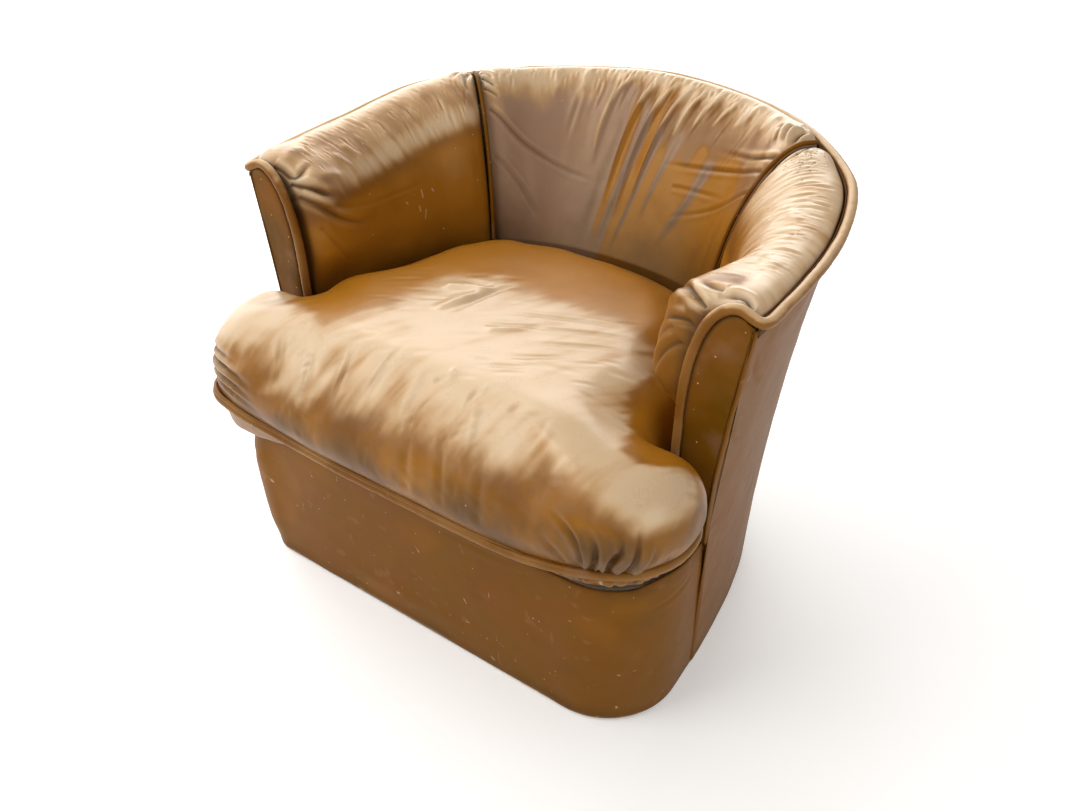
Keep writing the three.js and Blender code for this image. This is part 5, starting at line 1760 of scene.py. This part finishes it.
def build_stage():
    scene = bpy.context.scene
    world = bpy.data.worlds.new("studio")
    world.use_nodes = True
    sky = world.node_tree.nodes["Background"]
    sky.inputs["Color"].default_value = (1.0, 0.985, 0.95, 1)
    sky.inputs["Strength"].default_value = 0.42
    scene.world = world
    scene.view_settings.view_transform = "Standard"
    lights = [
        area_light("soft_sky", (-1.5, 2.2, 1.9), (0, -0.05, 0.42), (3.4, 2.2), 84, (1.0, 0.99, 0.98)),
        area_light("soft_key", (-1.3, -1.7, 2.2), (0, 0, 0.4), (1.6, 1.6), 36, (1.0, 0.98, 0.95)),
        area_light("soft_top", (-1.45, 0.0, 2.1), (0, -0.3, 0.45), (1.6, 1.6), 24, (1.0, 0.99, 0.97)),
        area_light("soft_side", (-2.6, 0.1, 0.85), (0, -0.1, 0.4), (2.0, 1.2), 14, (1.0, 0.99, 0.96)),
        area_light("soft_fill", (1.9, -0.9, 1.3), (0, 0, 0.35), (1.4, 1.4), 12, (1.0, 0.97, 0.93)),
    ]
    camera = bpy.data.cameras.new("studio_camera")
    camera.lens = 30.16
    camera.sensor_width = 36
    viewer = bpy.data.objects.new("studio_camera", camera)
    viewer.location = (0.6550, -0.9695, 1.0860)
    looks_down, turned_left = math.radians(35.77), math.radians(34.43)
    viewer.rotation_euler = (math.pi / 2 - looks_down, 0, turned_left)
    scene.collection.objects.link(viewer)
    scene.camera = viewer
    stage_floor()


# ---- what the maker can set ----

def length(name, default, low, high, description):
    return bpy.props.FloatProperty(name=name, description=description, default=default, min=low, max=high,
                                   precision=4, subtype="DISTANCE", unit="LENGTH")


def tint(name, default, description):
    return bpy.props.FloatVectorProperty(name=name, description=description, default=default, size=3,
                                         min=0, max=1, subtype="COLOR")


class ChairSizes(bpy.types.PropertyGroup):
    """Sizes of the piping, as radii."""

    rim_welt: length("Rim welt", 0.0065, 0.004, 0.0075, "Radius of the piping round the rim")
    seam_welt: length("Back seam welt", 0.0032, 0.002, 0.005, "Radius of the piping beside the back")
    cushion_welt: length("Cushion welt", 0.0065, 0.004, 0.0075, "Radius of the piping round the seat cushion")


class ChairColours(bpy.types.PropertyGroup):
    """Colours of the worn leather."""

    tan: tint("Tan", (0.29, 0.113, 0.01), "Leather of the inside covers and the seat")
    deep: tint("Deep tan", (0.17, 0.06, 0.005), "Darker clouds of the same leather")
    shade: tint("Shade", (0.12, 0.056, 0.018), "Dull brown of cracks and clouds")
    fiery: tint("Fiery", (0.33, 0.128, 0.008), "Orange leather that kept its dye")
    # Faded also stands for painted sky reflection.
    faded_and_reflection: tint("Faded", (0.275, 0.172, 0.118), "Greyed mauve leather that lost its finish")
    # Pale and cream also stand for painted sheen where light falls on the leather.
    pale: tint("Pale", (0.44, 0.262, 0.122), "Leather rubbed thin")
    cream: tint("Cream", (0.54, 0.385, 0.235), "Leather rubbed bare")
    # Grime also stands for painted shade in corners, under overhangs and on faces that look down.
    dirt_and_shade: tint("Grime", (0.075, 0.034, 0.009), "Dirt in the corners")
    # Soot is painted shade at the bottom of creases and along seams.
    crease_shade: tint("Soot", (0.04, 0.018, 0.007), "Dirt at the bottom of the creases")
    raw: tint("Raw hide", (0.55, 0.36, 0.22), "Nicks and scratches")
    outside: tint("Outside", (0.158, 0.062, 0.003), "Leather of the outside covers and the apron")
    olive: tint("Facing", (0.105, 0.043, 0.001), "Leather of the arm facings")
    piping: tint("Piping", (0.25, 0.115, 0.028), "Leather round the piping cord")


# ---- operators: one for each piece, or group of like pieces ----

class Builder:
    """What every operator of the chair shares."""

    bl_options = {"REGISTER", "UNDO"}

    def execute(self, context):
        self.build()
        return {"FINISHED"}


class CHAIR_OT_frame(Builder, bpy.types.Operator):
    """Give the wooden frame, boards, webbing, zip and glides their finishes"""

    bl_idname = "chair.finish_frame"
    bl_label = "Finish the frame"

    def build(self):
        finish_frame()


class CHAIR_OT_cushion(Builder, bpy.types.Operator):
    """Fill the loose seat cushion and wrinkle its leather"""

    bl_idname = "chair.seat_cushion"
    bl_label = "Seat cushion"

    def build(self):
        build_cushion()


class CHAIR_OT_arms(Builder, bpy.types.Operator):
    """Pad and wrinkle the inside of both arms"""

    bl_idname = "chair.inside_arms"
    bl_label = "Inside arms"

    def build(self):
        build_arm("right")
        build_arm("left")


class CHAIR_OT_back(Builder, bpy.types.Operator):
    """Pad and gather the inside of the back"""

    bl_idname = "chair.inside_back"
    bl_label = "Inside back"

    def build(self):
        build_back()


class CHAIR_OT_outside(Builder, bpy.types.Operator):
    """Cover the outside of the arms and the back"""

    bl_idname = "chair.outside_covers"
    bl_label = "Outside covers"

    def build(self):
        for side in ("right_arm", "left_arm", "back"):
            build_outside(side)


class CHAIR_OT_apron(Builder, bpy.types.Operator):
    """Cover the front below the seat"""

    bl_idname = "chair.front_apron"
    bl_label = "Front apron"

    def build(self):
        build_apron()


class CHAIR_OT_facings(Builder, bpy.types.Operator):
    """Close the front of both arms"""

    bl_idname = "chair.arm_facings"
    bl_label = "Arm facings"

    def build(self):
        build_facing("right", 1)
        build_facing("left", -1)


class CHAIR_OT_welts(Builder, bpy.types.Operator):
    """Lay the piping round the rim, down the back seams and round the cushion"""

    bl_idname = "chair.piping"
    bl_label = "Piping"

    def build(self):
        build_rim_welt()
        build_rim_flange()
        build_seam_welts()
        build_cushion_welt()
        build_puckers()


class CHAIR_OT_sheets(Builder, bpy.types.Operator):
    """Stretch the seat platform and the dust cover"""

    bl_idname = "chair.sheets"
    bl_label = "Platform and dust cover"

    def build(self):
        build_platform()
        build_dust_cover()


class CHAIR_OT_stage(Builder, bpy.types.Operator):
    """Set up the floor, the lights and the camera"""

    bl_idname = "chair.stage"
    bl_label = "Stage"

    def build(self):
        build_stage()


OPERATORS = (
    CHAIR_OT_frame, CHAIR_OT_arms, CHAIR_OT_back, CHAIR_OT_cushion, CHAIR_OT_outside, CHAIR_OT_apron,
    CHAIR_OT_facings, CHAIR_OT_welts, CHAIR_OT_sheets, CHAIR_OT_stage,
)


class CHAIR_PT_panel(bpy.types.Panel):
    """Sizes, colours and building steps of the worn club chair"""

    bl_label = "Worn Club Chair"
    bl_idname = "CHAIR_PT_panel"
    bl_space_type = "VIEW_3D"
    bl_region_type = "UI"
    bl_category = "Club Chair"

    def draw(self, context):
        layout = self.layout
        for group in (context.scene.chair_sizes, context.scene.chair_colours):
            column = layout.column(align=True)
            for name in group.__annotations__:
                column.prop(group, name)
        column = layout.column(align=True)
        for operator in OPERATORS:
            column.operator(operator.bl_idname)


CLASSES = (ChairSizes, ChairColours, *OPERATORS, CHAIR_PT_panel)


def register():
    for cls in CLASSES:
        bpy.utils.register_class(cls)
    bpy.types.Scene.chair_sizes = bpy.props.PointerProperty(type=ChairSizes)
    bpy.types.Scene.chair_colours = bpy.props.PointerProperty(type=ChairColours)


def unregister():
    del bpy.types.Scene.chair_colours
    del bpy.types.Scene.chair_sizes
    for cls in reversed(CLASSES):
        bpy.utils.unregister_class(cls)


def main():
    register()
    bpy.ops.chair.finish_frame()
    bpy.ops.chair.inside_arms()
    bpy.ops.chair.inside_back()
    bpy.ops.chair.seat_cushion()
    bpy.ops.chair.outside_covers()
    bpy.ops.chair.front_apron()
    bpy.ops.chair.arm_facings()
    bpy.ops.chair.piping()
    bpy.ops.chair.sheets()
    bpy.ops.chair.stage()


if __name__ == "__main__":
    main()
